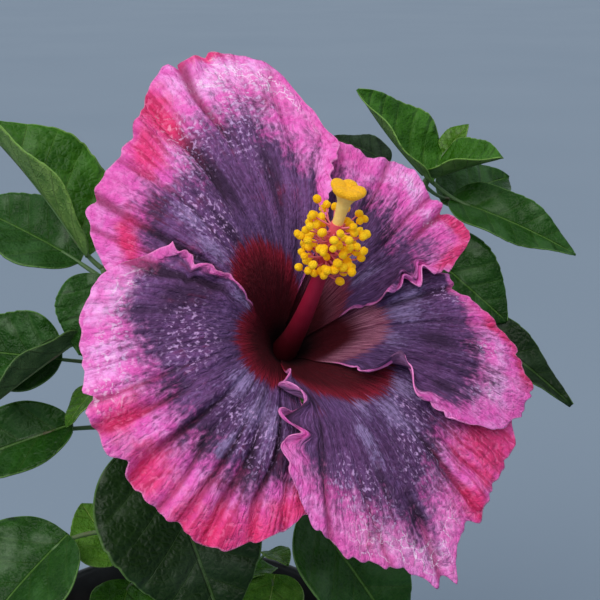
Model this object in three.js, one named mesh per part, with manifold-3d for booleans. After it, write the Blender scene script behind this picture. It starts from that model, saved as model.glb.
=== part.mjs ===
// A potted hibiscus shrub in flower: a nursery pot filled with potting mix, a short flared trunk that
// forks into five boughs, a mass of leaves on each bough, and one large five-petalled bloom in front.
// Millimetres, +Z up. The origin is the centre of the pot's flat underside; the bloom looks along -Y.
import * as THREE from "three";
import { mergeVertices } from "three/addons/utils/BufferGeometryUtils.js";
import Module from "manifold-3d";

// ---- driving dimensions (mm, degrees) ----
const GAP = 0.3; // left clear between neighbouring pieces
const POT_HEIGHT = 150;
const POT_FOOT_RADIUS = 61;
const POT_RIM_RADIUS = 84;
const POT_WALL = 2.4;
const POT_BAND_HEIGHT = 16; // the stiffening band under the lip
const POT_BAND_STEP = 2.6; // how far the band stands out of the wall
const POT_HOLES = 6;
const POT_HOLE_RADIUS = 5;
const POT_HOLE_CIRCLE = 42;
const SOIL_TOP = 130;
const SOIL_CROWN = 4; // the mix is heaped a little round the trunk

const TRUNK_FOOT_RADIUS = 8.2;
const TRUNK_TIP_RADIUS = 6.4;
const ROOT_FLARE = 5.5; // added to the radius at the soil
const FLARE_HEIGHT = 14;
const FORK = [16, 5, 200];

const LEAF_THICKNESS = 1.1;
const PETIOLE_RADIUS = 1.25;
const PETIOLE_TIP_RADIUS = 0.8;
const GOLDEN_ANGLE = 137.5; // turn from one leaf to the next up a shoot

const FLOWER_BASE = [51, -70, 311]; // where the petals meet
const STALK_FOOT = [34.1, -34.25, 276.5]; // the flower stalk runs on from the front stem's tip
const STALK_BEND = [36, -39.3, 286];
const FLOWER_HEADING = -72.5; // compass direction that the bloom looks in
const FLOWER_RISE = 33; // and its angle above level
const THROAT_RADIUS = 4.4;
const PETAL_THICKNESS = 1.4;
const PETAL_ROOT_SPREAD = 32.6; // half angle of a petal where it leaves the calyx
const PETAL_THROAT_SPREAD = 40; // and a little further up the throat
const PETAL_THROAT_LIFT = 1.7; // each clockwise edge lies this far in front in the throat
const PETAL_LIMB_LIFT = 1.7; // and this much further at the limb
// The flower's section: the angle between the petal and the flower's axis, along its length.
const PETAL_LENGTHS = [0, 20, 35, 50, 65, 80, 105, 135];
const PETAL_ANGLES = [20, 30, 45, 68, 86, 96, 106, 116];

const COLUMN_RADIUS = 3.3; // at the throat, where the stamens begin and where they end
const COLUMN_STAMEN_RADIUS = 2.65;
const COLUMN_TIP_RADIUS = 2.4;
const COLUMN_BEND = 40; // along the flower's axis
const COLUMN_TIP = [75, -118, 386];
const STAMENS_FROM = 0.56; // shares of the column's length
const STAMENS_TO = 0.86;
const ANTHERS = 40;
const ANTHER_RADIUS = 1.9;
const FILAMENT_RADIUS = 0.55;
const STYLE_RADIUS = 2.2;
const STIGMA_RADIUS = 7;

// Each petal: its azimuth in the throat and at the limb, its half spread to the clockwise and the
// other side, and its reach at nine stations from the clockwise edge to the other.
const PETALS = {
  upper_left: { base: 131, limb: 122, cw: 50, ccw: 50, reach: [86, 128, 147, 141, 121, 115, 110, 96, 86] },
  left: { base: 203, limb: 210, cw: 66, ccw: 52, reach: [76, 97, 104, 107, 108, 110, 112, 102, 90] },
  lower: { base: 275, limb: 291, cw: 37, ccw: 48, reach: [80, 95, 108, 115, 125, 116, 113, 112, 98] },
  right: { base: 347, limb: 350, cw: 33, ccw: 46, reach: [84, 101, 110, 111, 105, 88, 79, 75, 72] },
  upper_right: { base: 59, limb: 50, cw: 36, ccw: 48, reach: [78, 96, 97, 96, 101, 95, 98, 96, 84] },
};

// Boughs: from the fork to the point where the leaves begin, with the radius at either end.
const BOUGHS = {
  bough_left: { from: [11, 3, 195], bend: [1, -3, 212], to: [-2, -4, 234], radii: [4.4, 3.2] },
  bough_front: { from: [16, -3, 197], bend: [23, -14, 219], to: [28, -22, 246], radii: [4.6, 3.5] },
  bough_right: { from: [19, 5, 198], bend: [50, 14, 236], to: [74, 30, 284], radii: [4.6, 3.2] },
  bough_back_left: { from: [14, 8, 196], bend: [2, 34, 228], to: [4, 60, 262], radii: [4.2, 3.0] },
  bough_back_right: { from: [18, 9, 198], bend: [34, 42, 230], to: [52, 64, 266], radii: [4.2, 3.0] },
};
const LIMB_CLEARANCE = 8; // a seeded leaf keeps this far from the middle of every bough

// Leaf masses. Each grows from one stem on its bough. A twig leaves its stem at a share of the length.
// Posed leaves: stem, share of its length, petiole [heading, rise, length], blade [heading, pitch,
// length, width], and how the blade is rolled, folded along its rib and arched. The other leaves and
// their sprigs come by the seeded rule and stay inside the mass's own space, a box [low, high].
const MASSES = {
  foliage_left: {
    stem: [[-2, -4, 234], [-16, -12, 284], [-27, -35, 338]],
    radii: [3.1, 1.5],
    twigs: [[0.04, [-12, -22, 236], [-27, -46, 220]]],
    posed: [
      [0, 0.99, [184, 37, 9], [160, 48, 77, 60], 0, 46, 18],
      [0, 0.93, [149, 25, 17], [150, 17, 63, 42], -34, 22, 14],
      [0, 0.88, [258, 55, 12], [232, -63, 36, 36], -10, 14, 14],
      [0, 0.52, [202, 12, 35], [172, 3, 52, 40], -52, 18, 14],
      [0, 0.62, [229, 23, 29], [209, -31, 64, 34], 26, 26, 6],
      [0, 0.2, [217, 15, 46], [191, -18, 85, 42], -46, 22, 10],
      [0, 0.4, [230, 20, 29], [212, -45, 24, 18], 0, 12, 16],
      [1, 1.0, [196, 2, 18], [213, -41, 62, 58], -20, 16, 20],
      [1, 0.75, [255, -62, 26], [132, 34, 35, 32], -20, 14, 16],
    ],
    space: [[-50, -14, 214], [30, 40, 372]],
    sprigs: 1,
    leaves: 6,
    first: 78,
    seed: 11,
  },
  foliage_front: {
    stem: [[28, -22, 246], [31, -26, 261], [34, -34, 276]],
    radii: [3.4, 2.4],
    twigs: [[0.25, [18, -34, 264], [8, -49, 272]], [0.12, [38, -32, 254], [47, -45, 249]]],
    posed: [
      [1, 0.98, [237, 6, 23], [317, -61, 86, 72], 36, 13, 20],
      [2, 0.98, [298, -15, 30], [349, -55, 76, 50], 42, 14, 18],
    ],
    space: [[22, -66, 212], [104, 4, 286]],
    sprigs: 0,
    leaves: 6,
    first: 330,
    seed: 23,
  },
  foliage_right: {
    stem: [[74, 30, 284], [102, 40, 329], [126, 66, 368]],
    radii: [3.1, 1.4],
    twigs: [],
    posed: [
      [0, 0.98, [255, -43, 12], [180, 51, 59, 52], -22, 30, -16],
      [0, 0.99, [262, -35, 11], [327, 20, 38, 38], 16, 32, 10],
      [0, 0.99, [29, 41, 6], [17, 48, 19, 14], 30, 20, 10],
      [0, 0.9, [343, -42, 15], [343, -21, 67, 44], 40, 18, 22],
      [0, 0.86, [48, -36, 19], [41, 8, 51, 36], 34, 16, 20],
      [0, 0.82, [116, 17, 33], [153, 18, 35, 26], -20, 14, 18],
      [0, 0.6, [30, -34, 15], [338, -37, 57, 46], 56, 10, 14],
      [0, 0.35, [13, -20, 33], [342, -35, 86, 44], 36, 20, 16],
    ],
    space: [[60, -26, 214], [138, 44, 330]],
    sprigs: 1,
    leaves: 7,
    first: 200,
    seed: 37,
  },
  foliage_back_left: {
    stem: [[4, 60, 262], [5, 92, 300], [12, 112, 332]],
    radii: [2.9, 1.4],
    twigs: [],
    posed: [],
    space: [[-52, 46, 196], [44, 190, 384]],
    sprigs: 3,
    leaves: 12,
    first: 120,
    seed: 41,
  },
  foliage_back_right: {
    stem: [[52, 64, 266], [72, 92, 302], [86, 112, 330]],
    radii: [2.9, 1.4],
    twigs: [],
    posed: [],
    space: [[46, 46, 196], [142, 190, 384]],
    sprigs: 3,
    leaves: 12,
    first: 20,
    seed: 59,
  },
  foliage_low: {
    stem: [[8, -3, 172], [22, -14, 178], [36, -22, 186]],
    radii: [2.4, 1.6],
    twigs: [[0.3, [2, -17, 178], [-16, -22, 182]]],
    posed: [
      [0, 0.98, [356, 8, 11], [258, -43, 39, 34], 0, 14, 20],
      [1, 0.98, [135, -10, 11], [260, -39, 35, 32], 0, 14, 20],
    ],
    space: [[-70, -40, 158], [80, 6, 208]],
    sprigs: 0,
    leaves: 0,
    first: 0,
    seed: 71,
  },
  foliage_low_back: {
    stem: [[6, 6, 170], [8, 26, 176], [16, 44, 188]],
    radii: [2.4, 1.5],
    twigs: [],
    posed: [],
    space: [[-52, 8, 156], [84, 118, 212]],
    sprigs: 0,
    leaves: 8,
    first: 60,
    seed: 83,
  },
};

// ---- materials ----
const plastic = new THREE.MeshStandardMaterial({ color: 0x15171a, roughness: 0.5, metalness: 0 });
const mix = new THREE.MeshStandardMaterial({ color: 0x2b1f17, roughness: 0.95, metalness: 0 });
const bark = new THREE.MeshStandardMaterial({ color: 0x6d5a45, roughness: 0.85, metalness: 0 });
const foliage = new THREE.MeshStandardMaterial({ color: 0x2c5a22, roughness: 0.4, metalness: 0 });
const greenStem = new THREE.MeshStandardMaterial({ color: 0x5f8a3c, roughness: 0.5, metalness: 0 });
const petalSkin = new THREE.MeshStandardMaterial({ color: 0x8a4a86, roughness: 0.6, metalness: 0 });
const crimson = new THREE.MeshStandardMaterial({ color: 0x7a1230, roughness: 0.5, metalness: 0 });
const pollen = new THREE.MeshStandardMaterial({ color: 0xf2b90f, roughness: 0.7, metalness: 0 });

// ---- small helpers ----
const wasm = await Module();
wasm.setup();

const vec = ([x, y, z]) => new THREE.Vector3(x, y, z);
const rad = THREE.MathUtils.degToRad;
const smooth = (a, b, x) => THREE.MathUtils.smoothstep(x, a, b);
const direction = (heading, rise) =>
  new THREE.Vector3(
    Math.cos(rad(heading)) * Math.cos(rad(rise)),
    Math.sin(rad(heading)) * Math.cos(rad(rise)),
    Math.sin(rad(rise)),
  );
const path = (a, b, c) => new THREE.QuadraticBezierCurve3(vec(a), vec(b), vec(c));

// A repeatable draw between 0 and 1 for each whole number.
function draw(n) {
  const x = Math.sin(n * 12.9898) * 43758.5453;
  return x - Math.floor(x);
}

// A closed geometry as a solid that can be joined and cut.
function solid(geometry) {
  const bare = geometry.clone();
  bare.deleteAttribute("normal");
  bare.deleteAttribute("uv");
  const merged = mergeVertices(bare, 1e-4);
  return new wasm.Manifold(
    new wasm.Mesh({
      numProp: 3,
      vertProperties: merged.attributes.position.array,
      triVerts: new Uint32Array(merged.index.array),
    }),
  );
}

// A solid as a named mesh.
function mesh(name, body, material) {
  const { vertProperties, triVerts, numProp } = body.getMesh();
  const positions = new Float32Array((vertProperties.length / numProp) * 3);
  for (let i = 0; i < positions.length / 3; i++) {
    positions.set(vertProperties.subarray(i * numProp, i * numProp + 3), i * 3);
  }
  const geometry = new THREE.BufferGeometry();
  geometry.setAttribute("position", new THREE.BufferAttribute(positions, 3));
  geometry.setIndex(new THREE.BufferAttribute(triVerts, 1));
  geometry.computeVertexNormals();
  const made = new THREE.Mesh(geometry, material);
  made.name = name;
  return made;
}

// A tapering round limb along a curve. radius(t) is its radius from foot (0) to tip (1).
function limb(curve, radius, sides, steps) {
  const geometry = new THREE.CylinderGeometry(1, 1, 1, sides, steps);
  const { normals, binormals } = curve.computeFrenetFrames(steps, false);
  const p = geometry.attributes.position;
  for (let i = 0; i < p.count; i++) {
    const step = Math.round((p.getY(i) + 0.5) * steps);
    const t = step / steps;
    const r = radius(t);
    const at = curve
      .getPointAt(t)
      .addScaledVector(normals[step], p.getX(i) * r)
      .addScaledVector(binormals[step], -p.getZ(i) * r);
    p.setXYZ(i, at.x, at.y, at.z);
  }
  return solid(geometry);
}

const tapered = ([foot, tip], grow = 0) => (t) => foot + (tip - foot) * t + grow;

// A thin curved plate. place(u, v) is its middle surface, u in -1..1 across and v in 0..1 along.
function plate(across, along, thickness, place) {
  const geometry = new THREE.BoxGeometry(2, 1, 1, across, along, 1);
  const p = geometry.attributes.position;
  const e = 1e-3;
  for (let i = 0; i < p.count; i++) {
    const u = p.getX(i);
    const v = p.getY(i) + 0.5;
    const du = place(Math.min(u + e, 1), v).sub(place(Math.max(u - e, -1), v));
    const dv = place(u, Math.min(v + e, 1)).sub(place(u, Math.max(v - e, 0)));
    const at = place(u, v).addScaledVector(du.cross(dv).normalize(), p.getZ(i) * thickness);
    p.setXYZ(i, at.x, at.y, at.z);
  }
  return solid(geometry);
}

// ---- pot and potting mix ----
const wallRadius = (z) =>
  POT_FOOT_RADIUS + ((POT_RIM_RADIUS - POT_BAND_STEP - POT_FOOT_RADIUS) * z) / POT_HEIGHT;

function pot() {
  const bandFoot = POT_HEIGHT - POT_BAND_HEIGHT;
  const outline = [
    [0, 0],
    [wallRadius(0) - 3, 0],
    [wallRadius(3), 3],
    [wallRadius(bandFoot), bandFoot],
    [POT_RIM_RADIUS - 0.8, bandFoot + 1.2],
    [POT_RIM_RADIUS, POT_HEIGHT - 2.4],
    [POT_RIM_RADIUS - 0.9, POT_HEIGHT],
    [POT_RIM_RADIUS - POT_BAND_STEP - POT_WALL + 0.9, POT_HEIGHT],
    [POT_RIM_RADIUS - POT_BAND_STEP - POT_WALL, POT_HEIGHT - 2.4],
    [wallRadius(POT_WALL) - POT_WALL, POT_WALL],
    [0, POT_WALL],
  ];
  const points = outline.map(([r, z]) => new THREE.Vector2(r, z));
  const shell = new THREE.LatheGeometry(points, 40).rotateX(Math.PI / 2);
  let body = solid(shell);
  for (let i = 0; i < POT_HOLES; i++) {
    const turn = rad((360 / POT_HOLES) * (i + 0.5));
    const drill = new THREE.CylinderGeometry(POT_HOLE_RADIUS, POT_HOLE_RADIUS, 4 * POT_WALL, 12)
      .rotateX(Math.PI / 2)
      .translate(POT_HOLE_CIRCLE * Math.cos(turn), POT_HOLE_CIRCLE * Math.sin(turn), 0);
    body = body.subtract(solid(drill));
  }
  return body;
}

function soil() {
  const inner = (z) => wallRadius(z) - POT_WALL - 2 * GAP;
  const low = POT_WALL + GAP;
  const outline = [
    [0, low],
    [inner(low) - 0.5, low],
    [inner(SOIL_TOP), SOIL_TOP],
    [40, SOIL_TOP + 1.2],
    [18, SOIL_TOP + SOIL_CROWN],
    [0, SOIL_TOP + SOIL_CROWN],
  ];
  const points = outline.map(([r, z]) => new THREE.Vector2(r, z));
  return solid(new THREE.LatheGeometry(points, 32).rotateX(Math.PI / 2));
}

// ---- trunk and boughs ----
const trunkFoot = [0, 0, SOIL_TOP + SOIL_CROWN + GAP];
const trunkPath = path(trunkFoot, [1, 1, 166], FORK);
const trunkHeight = FORK[2] - trunkFoot[2];
const trunkRadius = (grow) => (t) => {
  const flare = ROOT_FLARE * Math.exp((-t * trunkHeight) / FLARE_HEIGHT * 1.6);
  const tip = 1 - 0.55 * smooth(0.86, 1, t);
  return (TRUNK_FOOT_RADIUS + (TRUNK_TIP_RADIUS - TRUNK_FOOT_RADIUS) * t) * tip + flare + grow;
};

// The trunk's foot is cut flat, level with the top of the mix.
function trunk(grow) {
  const body = limb(trunkPath, trunkRadius(grow), 14, 12);
  if (grow) return body;
  const ground = new THREE.BoxGeometry(60, 60, 20).translate(0, 0, trunkFoot[2] - 10);
  return body.subtract(solid(ground));
}

// ---- leaves ----
// Half width of a blade at v along it, as a share of its full width: ovate, rounded at the base.
function bladeOutline(v) {
  return 0.5 * 2.541 * Math.pow(v, 0.52) * Math.pow(1 - v, 0.9);
}

// The blade's middle surface: an arched rib from `base`, both halves folded up about it.
function bladeSurface(base, heading, pitch, length, width, roll, fold, arch) {
  const along = direction(heading, pitch);
  const level = direction(heading - 90, 0);
  const up = new THREE.Vector3().crossVectors(level, along);
  const side = level.clone().applyAxisAngle(along, rad(roll));
  const normal = up.applyAxisAngle(along, rad(roll));
  const half = rad(arch) / 2;
  const bow = length / (2 * Math.sin(half));
  return (u, v) => {
    const angle = half * (1 - 2 * v);
    const w = Math.max(bladeOutline(v) * width, 0.7);
    const lift = normal.clone().multiplyScalar(Math.cos(angle)).addScaledVector(along, -Math.sin(angle));
    return base
      .clone()
      .addScaledVector(along, bow * (Math.sin(half) - Math.sin(angle)))
      .addScaledVector(normal, bow * (Math.cos(angle) - Math.cos(half)))
      .addScaledVector(side, u * w * Math.cos(rad(fold)))
      .addScaledVector(lift, Math.abs(u) * w * Math.sin(rad(fold)));
  };
}

const PROBES = [[0, 0.3], [0, 0.6], [0, 1], [-1, 0.25], [1, 0.25], [-1, 0.6], [1, 0.6]];

// One leaf: a petiole sunk in its twig, running on as the rib's root, and the blade. The probes are
// points of the blade that tell whether it keeps to its mass's space.
function leaf(curve, share, [heading, rise, petiole], blade, roll, fold, arch) {
  const foot = curve.getPoint(share);
  const base = foot.clone().addScaledVector(direction(heading, rise), petiole);
  const surface = bladeSurface(base, ...blade, roll, fold, arch);
  const stalk = new THREE.QuadraticBezierCurve3(foot, base, surface(0, 0.16));
  const petiolePart = limb(stalk, tapered([PETIOLE_RADIUS, PETIOLE_TIP_RADIUS]), 3, 2);
  return {
    body: plate(2, 5, LEAF_THICKNESS, surface).add(petiolePart),
    probes: PROBES.map(([u, v]) => surface(u, v)),
  };
}

// Points along the middle of every bough.
const limbPoints = Object.values(BOUGHS).flatMap(({ from, bend, to }) =>
  path(from, bend, to).getPoints(16),
);

// True where every probe point lies in the mass's own space and none is close to a bough.
const within = ([low, high], probes) =>
  probes.every(
    (p) =>
      p.toArray().every((value, i) => value >= low[i] && value <= high[i]) &&
      limbPoints.every((q) => q.distanceTo(p) > LIMB_CLEARANCE),
  );

// Leaves by the seeded rule: each is a golden angle on from the last, and one that would leave the
// mass's space is skipped.
function seededLeaves(curve, count, first, seed, space, from = 0.12) {
  const made = [];
  for (let k = 0; k < count; k++) {
    const pick = (i) => draw(seed * 101 + k * 17 + i);
    const heading = first + k * GOLDEN_ANGLE;
    const length = 56 + 24 * pick(1);
    const grown = leaf(
      curve,
      from + ((0.95 - from) * (k + 0.5)) / count,
      [heading, 38 - 30 * pick(2), 14 + 14 * pick(3)],
      [heading - 20 + 40 * pick(4), 12 - 48 * pick(5), length, length * (0.62 + 0.14 * pick(6))],
      -18 + 36 * pick(7),
      12 + 14 * pick(8),
      18 + 28 * pick(9),
    );
    if (within(space, grown.probes)) made.push(grown.body);
  }
  return made;
}

function mass({ stem, radii, twigs, posed, space, sprigs, leaves, first, seed }) {
  const main = path(...stem);
  const curves = [main];
  twigs.forEach(([share, bend, tip]) => curves.push(path(main.getPoint(share).toArray(), bend, tip)));
  for (let k = 0; k < sprigs; k++) {
    const pick = (i) => draw(seed * 53 + k * 7 + i);
    const foot = main.getPoint(0.15 + (0.6 * k) / sprigs);
    const heading = first + 60 + k * GOLDEN_ANGLE;
    const bend = foot.clone().addScaledVector(direction(heading, 15), 18);
    const tip = bend.clone().addScaledVector(direction(heading + 10, 40), 16 + 8 * pick(1));
    if (within(space, [tip])) curves.push(path(foot.toArray(), bend.toArray(), tip.toArray()));
  }
  let body = limb(main, tapered(radii), 6, 6);
  curves.slice(1).forEach((twig) => {
    body = body.add(limb(twig, tapered([radii[1], 1.3]), 5, 4));
  });
  posed.forEach(([stemIndex, ...shape]) => {
    body = body.add(leaf(curves[stemIndex], ...shape).body);
  });
  const seeded = [...seededLeaves(main, leaves, first, seed, space)];
  curves.slice(1 + twigs.length).forEach((twig, k) => {
    seeded.push(...seededLeaves(twig, 4, first + 40 * (k + 1), seed + 5 + k, space, 0.45));
  });
  seeded.forEach((grown) => {
    body = body.add(grown);
  });
  return body;
}

// ---- bloom ----
const flowerBase = vec(FLOWER_BASE);
const axis = direction(FLOWER_HEADING, FLOWER_RISE);
const across = direction(FLOWER_HEADING + 90, 0);
const upward = new THREE.Vector3().crossVectors(axis, across);

// The petal's angle to the flower's axis at arc length s.
function petalAngle(s) {
  const i = Math.max(1, PETAL_LENGTHS.findIndex((length) => s <= length));
  const last = s > PETAL_LENGTHS.at(-1) ? PETAL_LENGTHS.length - 1 : i;
  const t = (s - PETAL_LENGTHS[last - 1]) / (PETAL_LENGTHS[last] - PETAL_LENGTHS[last - 1]);
  return rad(PETAL_ANGLES[last - 1] + (PETAL_ANGLES[last] - PETAL_ANGLES[last - 1]) * Math.min(t, 1));
}

// Distance from the axis and along it at arc length s.
function petalSection(s) {
  const n = Math.max(2, Math.ceil(s));
  let rho = THROAT_RADIUS;
  let zeta = 0;
  for (let i = 0; i < n; i++) {
    const angle = petalAngle(((i + 0.5) * s) / n);
    rho += (Math.sin(angle) * s) / n;
    zeta += (Math.cos(angle) * s) / n;
  }
  return { rho, zeta, angle: petalAngle(s) };
}

// A smooth curve through equally spaced values, x in 0..1.
function eased(values, x) {
  const curve = new THREE.SplineCurve(values.map((value, i) => new THREE.Vector2(i, value)));
  return curve.getPoint(THREE.MathUtils.clamp(x, 0, 1)).y;
}

function petalSurface({ base, limb: limbAzimuth, cw, ccw, reach }) {
  return (u, v) => {
    const s = 2 + v * (eased(reach, (u + 1) / 2) - 2);
    const spread = ((cw + ccw) / 2) * u + ((ccw - cw) / 2) * u * u;
    const throat =
      THREE.MathUtils.lerp(PETAL_ROOT_SPREAD, PETAL_THROAT_SPREAD, smooth(6, 22, s)) * u;
    const middle = THREE.MathUtils.lerp(base, limbAzimuth, smooth(10, 60, s));
    const azimuth = rad(middle + THREE.MathUtils.lerp(throat, spread, smooth(12, 55, s)));
    const { rho, zeta, angle } = petalSection(s);
    const lift = -u * (PETAL_THROAT_LIFT * smooth(0, 8, s) + PETAL_LIMB_LIFT * smooth(18, 50, s));
    const r = rho - lift * Math.cos(angle);
    return flowerBase
      .clone()
      .addScaledVector(across, r * Math.cos(azimuth))
      .addScaledVector(upward, r * Math.sin(azimuth))
      .addScaledVector(axis, zeta + lift * Math.sin(angle));
  };
}

// A point at `along` up the flower's axis and `out` from it at an azimuth.
const flowerPoint = (along, out = 0, azimuth = 0) =>
  flowerBase
    .clone()
    .addScaledVector(axis, along)
    .addScaledVector(across, out * Math.cos(rad(azimuth)))
    .addScaledVector(upward, out * Math.sin(rad(azimuth)));

// Flower stalk, calyx cup and its five teeth, all behind the petals.
function calyx() {
  const stalk = path(STALK_FOOT, STALK_BEND, flowerPoint(-15).toArray());
  let body = limb(stalk, tapered([2.1, 2.6]), 6, 5);
  const cup = new THREE.LineCurve3(flowerPoint(-17), flowerPoint(-2.2));
  body = body.add(limb(cup, (t) => 3 + 5 * Math.sqrt(t), 10, 4));
  for (let k = 0; k < 5; k++) {
    const azimuth = 95 + 72 * k;
    const tooth = new THREE.QuadraticBezierCurve3(
      flowerPoint(-7, 5.2, azimuth),
      flowerPoint(4, 11.2, azimuth),
      flowerPoint(13, 17.5, azimuth),
    );
    body = body.add(limb(tooth, (t) => 2.6 * (1 - t) + 0.5, 4, 3));
  }
  return body;
}

const columnPath = path(flowerPoint(0.4).toArray(), flowerPoint(COLUMN_BEND).toArray(), COLUMN_TIP);

// A stretch of the column between two shares of its length.
function columnStretch(from, to) {
  const points = [0, 1, 2, 3, 4].map((i) => columnPath.getPointAt(from + ((to - from) * i) / 4));
  return new THREE.CatmullRomCurve3(points);
}

// The upper column with its filaments and the round anthers on them.
function stamens() {
  const low = STAMENS_FROM + GAP / columnPath.getLength();
  const radii = [COLUMN_STAMEN_RADIUS, COLUMN_TIP_RADIUS];
  let body = limb(columnStretch(low, STAMENS_TO), tapered(radii), 8, 4);
  for (let k = 0; k < ANTHERS; k++) {
    const share = (k + 0.5) / ANTHERS;
    const foot = columnPath.getPointAt(low + 0.02 + (STAMENS_TO - low - 0.04) * share);
    const along = columnPath.getTangentAt(low + (STAMENS_TO - low) * share);
    const side = new THREE.Vector3().crossVectors(along, upward).normalize();
    side.applyAxisAngle(along, rad(GOLDEN_ANGLE * k));
    const reach = 9.5 + 5.5 * draw(k + 3) + 2 * Math.sin(Math.PI * share);
    const tip = foot
      .clone()
      .addScaledVector(side, reach)
      .addScaledVector(along, 2 + 5 * draw(k + 71));
    body = body.add(limb(new THREE.LineCurve3(foot, tip), () => FILAMENT_RADIUS, 3, 1));
    const anther = new THREE.IcosahedronGeometry(ANTHER_RADIUS, 0).scale(1, 0.85, 1);
    body = body.add(solid(anther.translate(tip.x, tip.y, tip.z)));
  }
  return body;
}

// The style's end opens as a lobed trumpet.
function stigma() {
  const from = columnPath.getPointAt(STAMENS_TO + GAP / columnPath.getLength());
  const along = columnPath.getTangentAt(1);
  const curve = new THREE.LineCurve3(from, columnPath.getPoint(1).addScaledVector(along, 3));
  const flare = (t) => (STIGMA_RADIUS - STYLE_RADIUS) * smooth(0.35, 0.85, t) - 1.6 * smooth(0.85, 1, t);
  return limb(curve, (t) => STYLE_RADIUS + flare(t), 12, 7);
}

// ---- the plant ----
const plant = new THREE.Group();
plant.add(mesh("pot", pot(), plastic), mesh("soil", soil(), mix), mesh("trunk", trunk(0), bark));

// Boughs are cut clear of the trunk and of each other, so that each starts snug on its neighbour.
let taken = trunk(GAP);
for (const [name, { from, bend, to, radii }] of Object.entries(BOUGHS)) {
  const curve = path(from, bend, to);
  const body = limb(curve, tapered(radii), 8, 8).subtract(taken);
  const pieces = body.decompose().sort((a, b) => b.volume() - a.volume());
  plant.add(mesh(name, pieces[0], bark));
  taken = taken.add(limb(curve, tapered(radii, GAP), 8, 8));
}

// A mass starts clear of the flat tip of its bough, and is cut clear of the trunk and boughs.
for (const [name, shape] of Object.entries(MASSES)) {
  const start = path(...shape.stem);
  const clear = start.getPoint(0).addScaledVector(start.getTangent(0), GAP).toArray();
  const grown = mass({ ...shape, stem: [clear, shape.stem[1], shape.stem[2]] }).subtract(taken);
  const pieces = grown.decompose().sort((a, b) => b.volume() - a.volume());
  plant.add(mesh(name, pieces[0], foliage));
}

const bloom = new THREE.Group();
bloom.add(mesh("calyx", calyx(), greenStem));
for (const [name, shape] of Object.entries(PETALS)) {
  const petal = plate(11, 8, PETAL_THICKNESS, petalSurface(shape));
  bloom.add(mesh("petal_" + name, petal, petalSkin));
}
const columnRadius = tapered([COLUMN_RADIUS, COLUMN_STAMEN_RADIUS]);
bloom.add(mesh("column", limb(columnStretch(0, STAMENS_FROM), columnRadius, 10, 5), crimson));
bloom.add(mesh("stamens", stamens(), pollen), mesh("stigma", stigma(), pollen));
plant.add(bloom);

export default plant;
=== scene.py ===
import math

import bpy
import numpy as np
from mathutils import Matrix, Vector, noise


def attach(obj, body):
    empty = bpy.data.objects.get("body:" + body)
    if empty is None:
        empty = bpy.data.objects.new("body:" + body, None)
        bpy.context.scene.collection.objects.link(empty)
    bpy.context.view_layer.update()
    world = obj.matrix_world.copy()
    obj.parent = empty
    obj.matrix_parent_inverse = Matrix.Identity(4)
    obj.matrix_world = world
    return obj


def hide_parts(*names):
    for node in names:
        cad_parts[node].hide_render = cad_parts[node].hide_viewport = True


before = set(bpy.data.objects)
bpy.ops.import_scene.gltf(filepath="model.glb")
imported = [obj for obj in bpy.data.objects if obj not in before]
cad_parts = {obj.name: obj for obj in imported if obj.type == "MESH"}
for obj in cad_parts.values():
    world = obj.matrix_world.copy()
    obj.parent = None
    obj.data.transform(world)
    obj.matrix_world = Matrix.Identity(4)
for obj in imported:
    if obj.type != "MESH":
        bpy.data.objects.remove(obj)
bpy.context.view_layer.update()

# ---- View ----------------------------------------------------------------------------------------
# The eye is a little above the bloom and 0.6 m in front of it, and looks down by 15 degrees through
# a short telephoto lens. Colours are shown as they are mixed.
bpy.ops.object.camera_add(location=(0.0579, -0.6077, 0.4769), rotation=(math.radians(75), 0, 0))
camera = bpy.context.object
camera.data.sensor_width = 36
camera.data.lens = 82.08
camera.data.clip_start = 0.01
bpy.context.scene.camera = camera
bpy.context.scene.view_settings.view_transform = "Standard"

# ---- Daylight ------------------------------------------------------------------------------------
# An overcast sky all round and one very broad soft light from the upper left, so that shadows are
# faint and the waxy leaves pick up a pale sheen.
sky = bpy.data.worlds.new("sky")
bpy.context.scene.world = sky
sky.use_nodes = True
sky.node_tree.nodes["Background"].inputs["Color"].default_value = (0.80, 0.88, 1.0, 1)
sky.node_tree.nodes["Background"].inputs["Strength"].default_value = 0.64

bpy.ops.object.light_add(type="SUN", location=(-1, -1, 2), rotation=(math.radians(38), math.radians(-16), 0))
sun = bpy.context.object
sun.data.energy = 1.45
sun.data.angle = math.radians(50)
sun.data.color = (1.0, 0.97, 0.92)

bpy.ops.object.light_add(type="AREA", location=(-0.5, -0.8, 1.0),
                         rotation=(math.radians(42), 0, math.radians(-32)))
soft_box = bpy.context.object
soft_box.data.size = 0.7
soft_box.data.energy = 3.2


# ---- Floor ---------------------------------------------------------------------------------------
# A plain pale studio floor, wide enough to reach past the view on all sides. It isn't part of the
# plant.
def tone(red, green, blue):
    """A colour written as it is seen, 0 to 255, in the linear light that finishes are mixed in."""
    parts = []
    for part in (red, green, blue):
        part = part / 255
        parts.append(part / 12.92 if part <= 0.04045 else ((part + 0.055) / 1.055) ** 2.4)
    return (*parts, 1.0)


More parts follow.
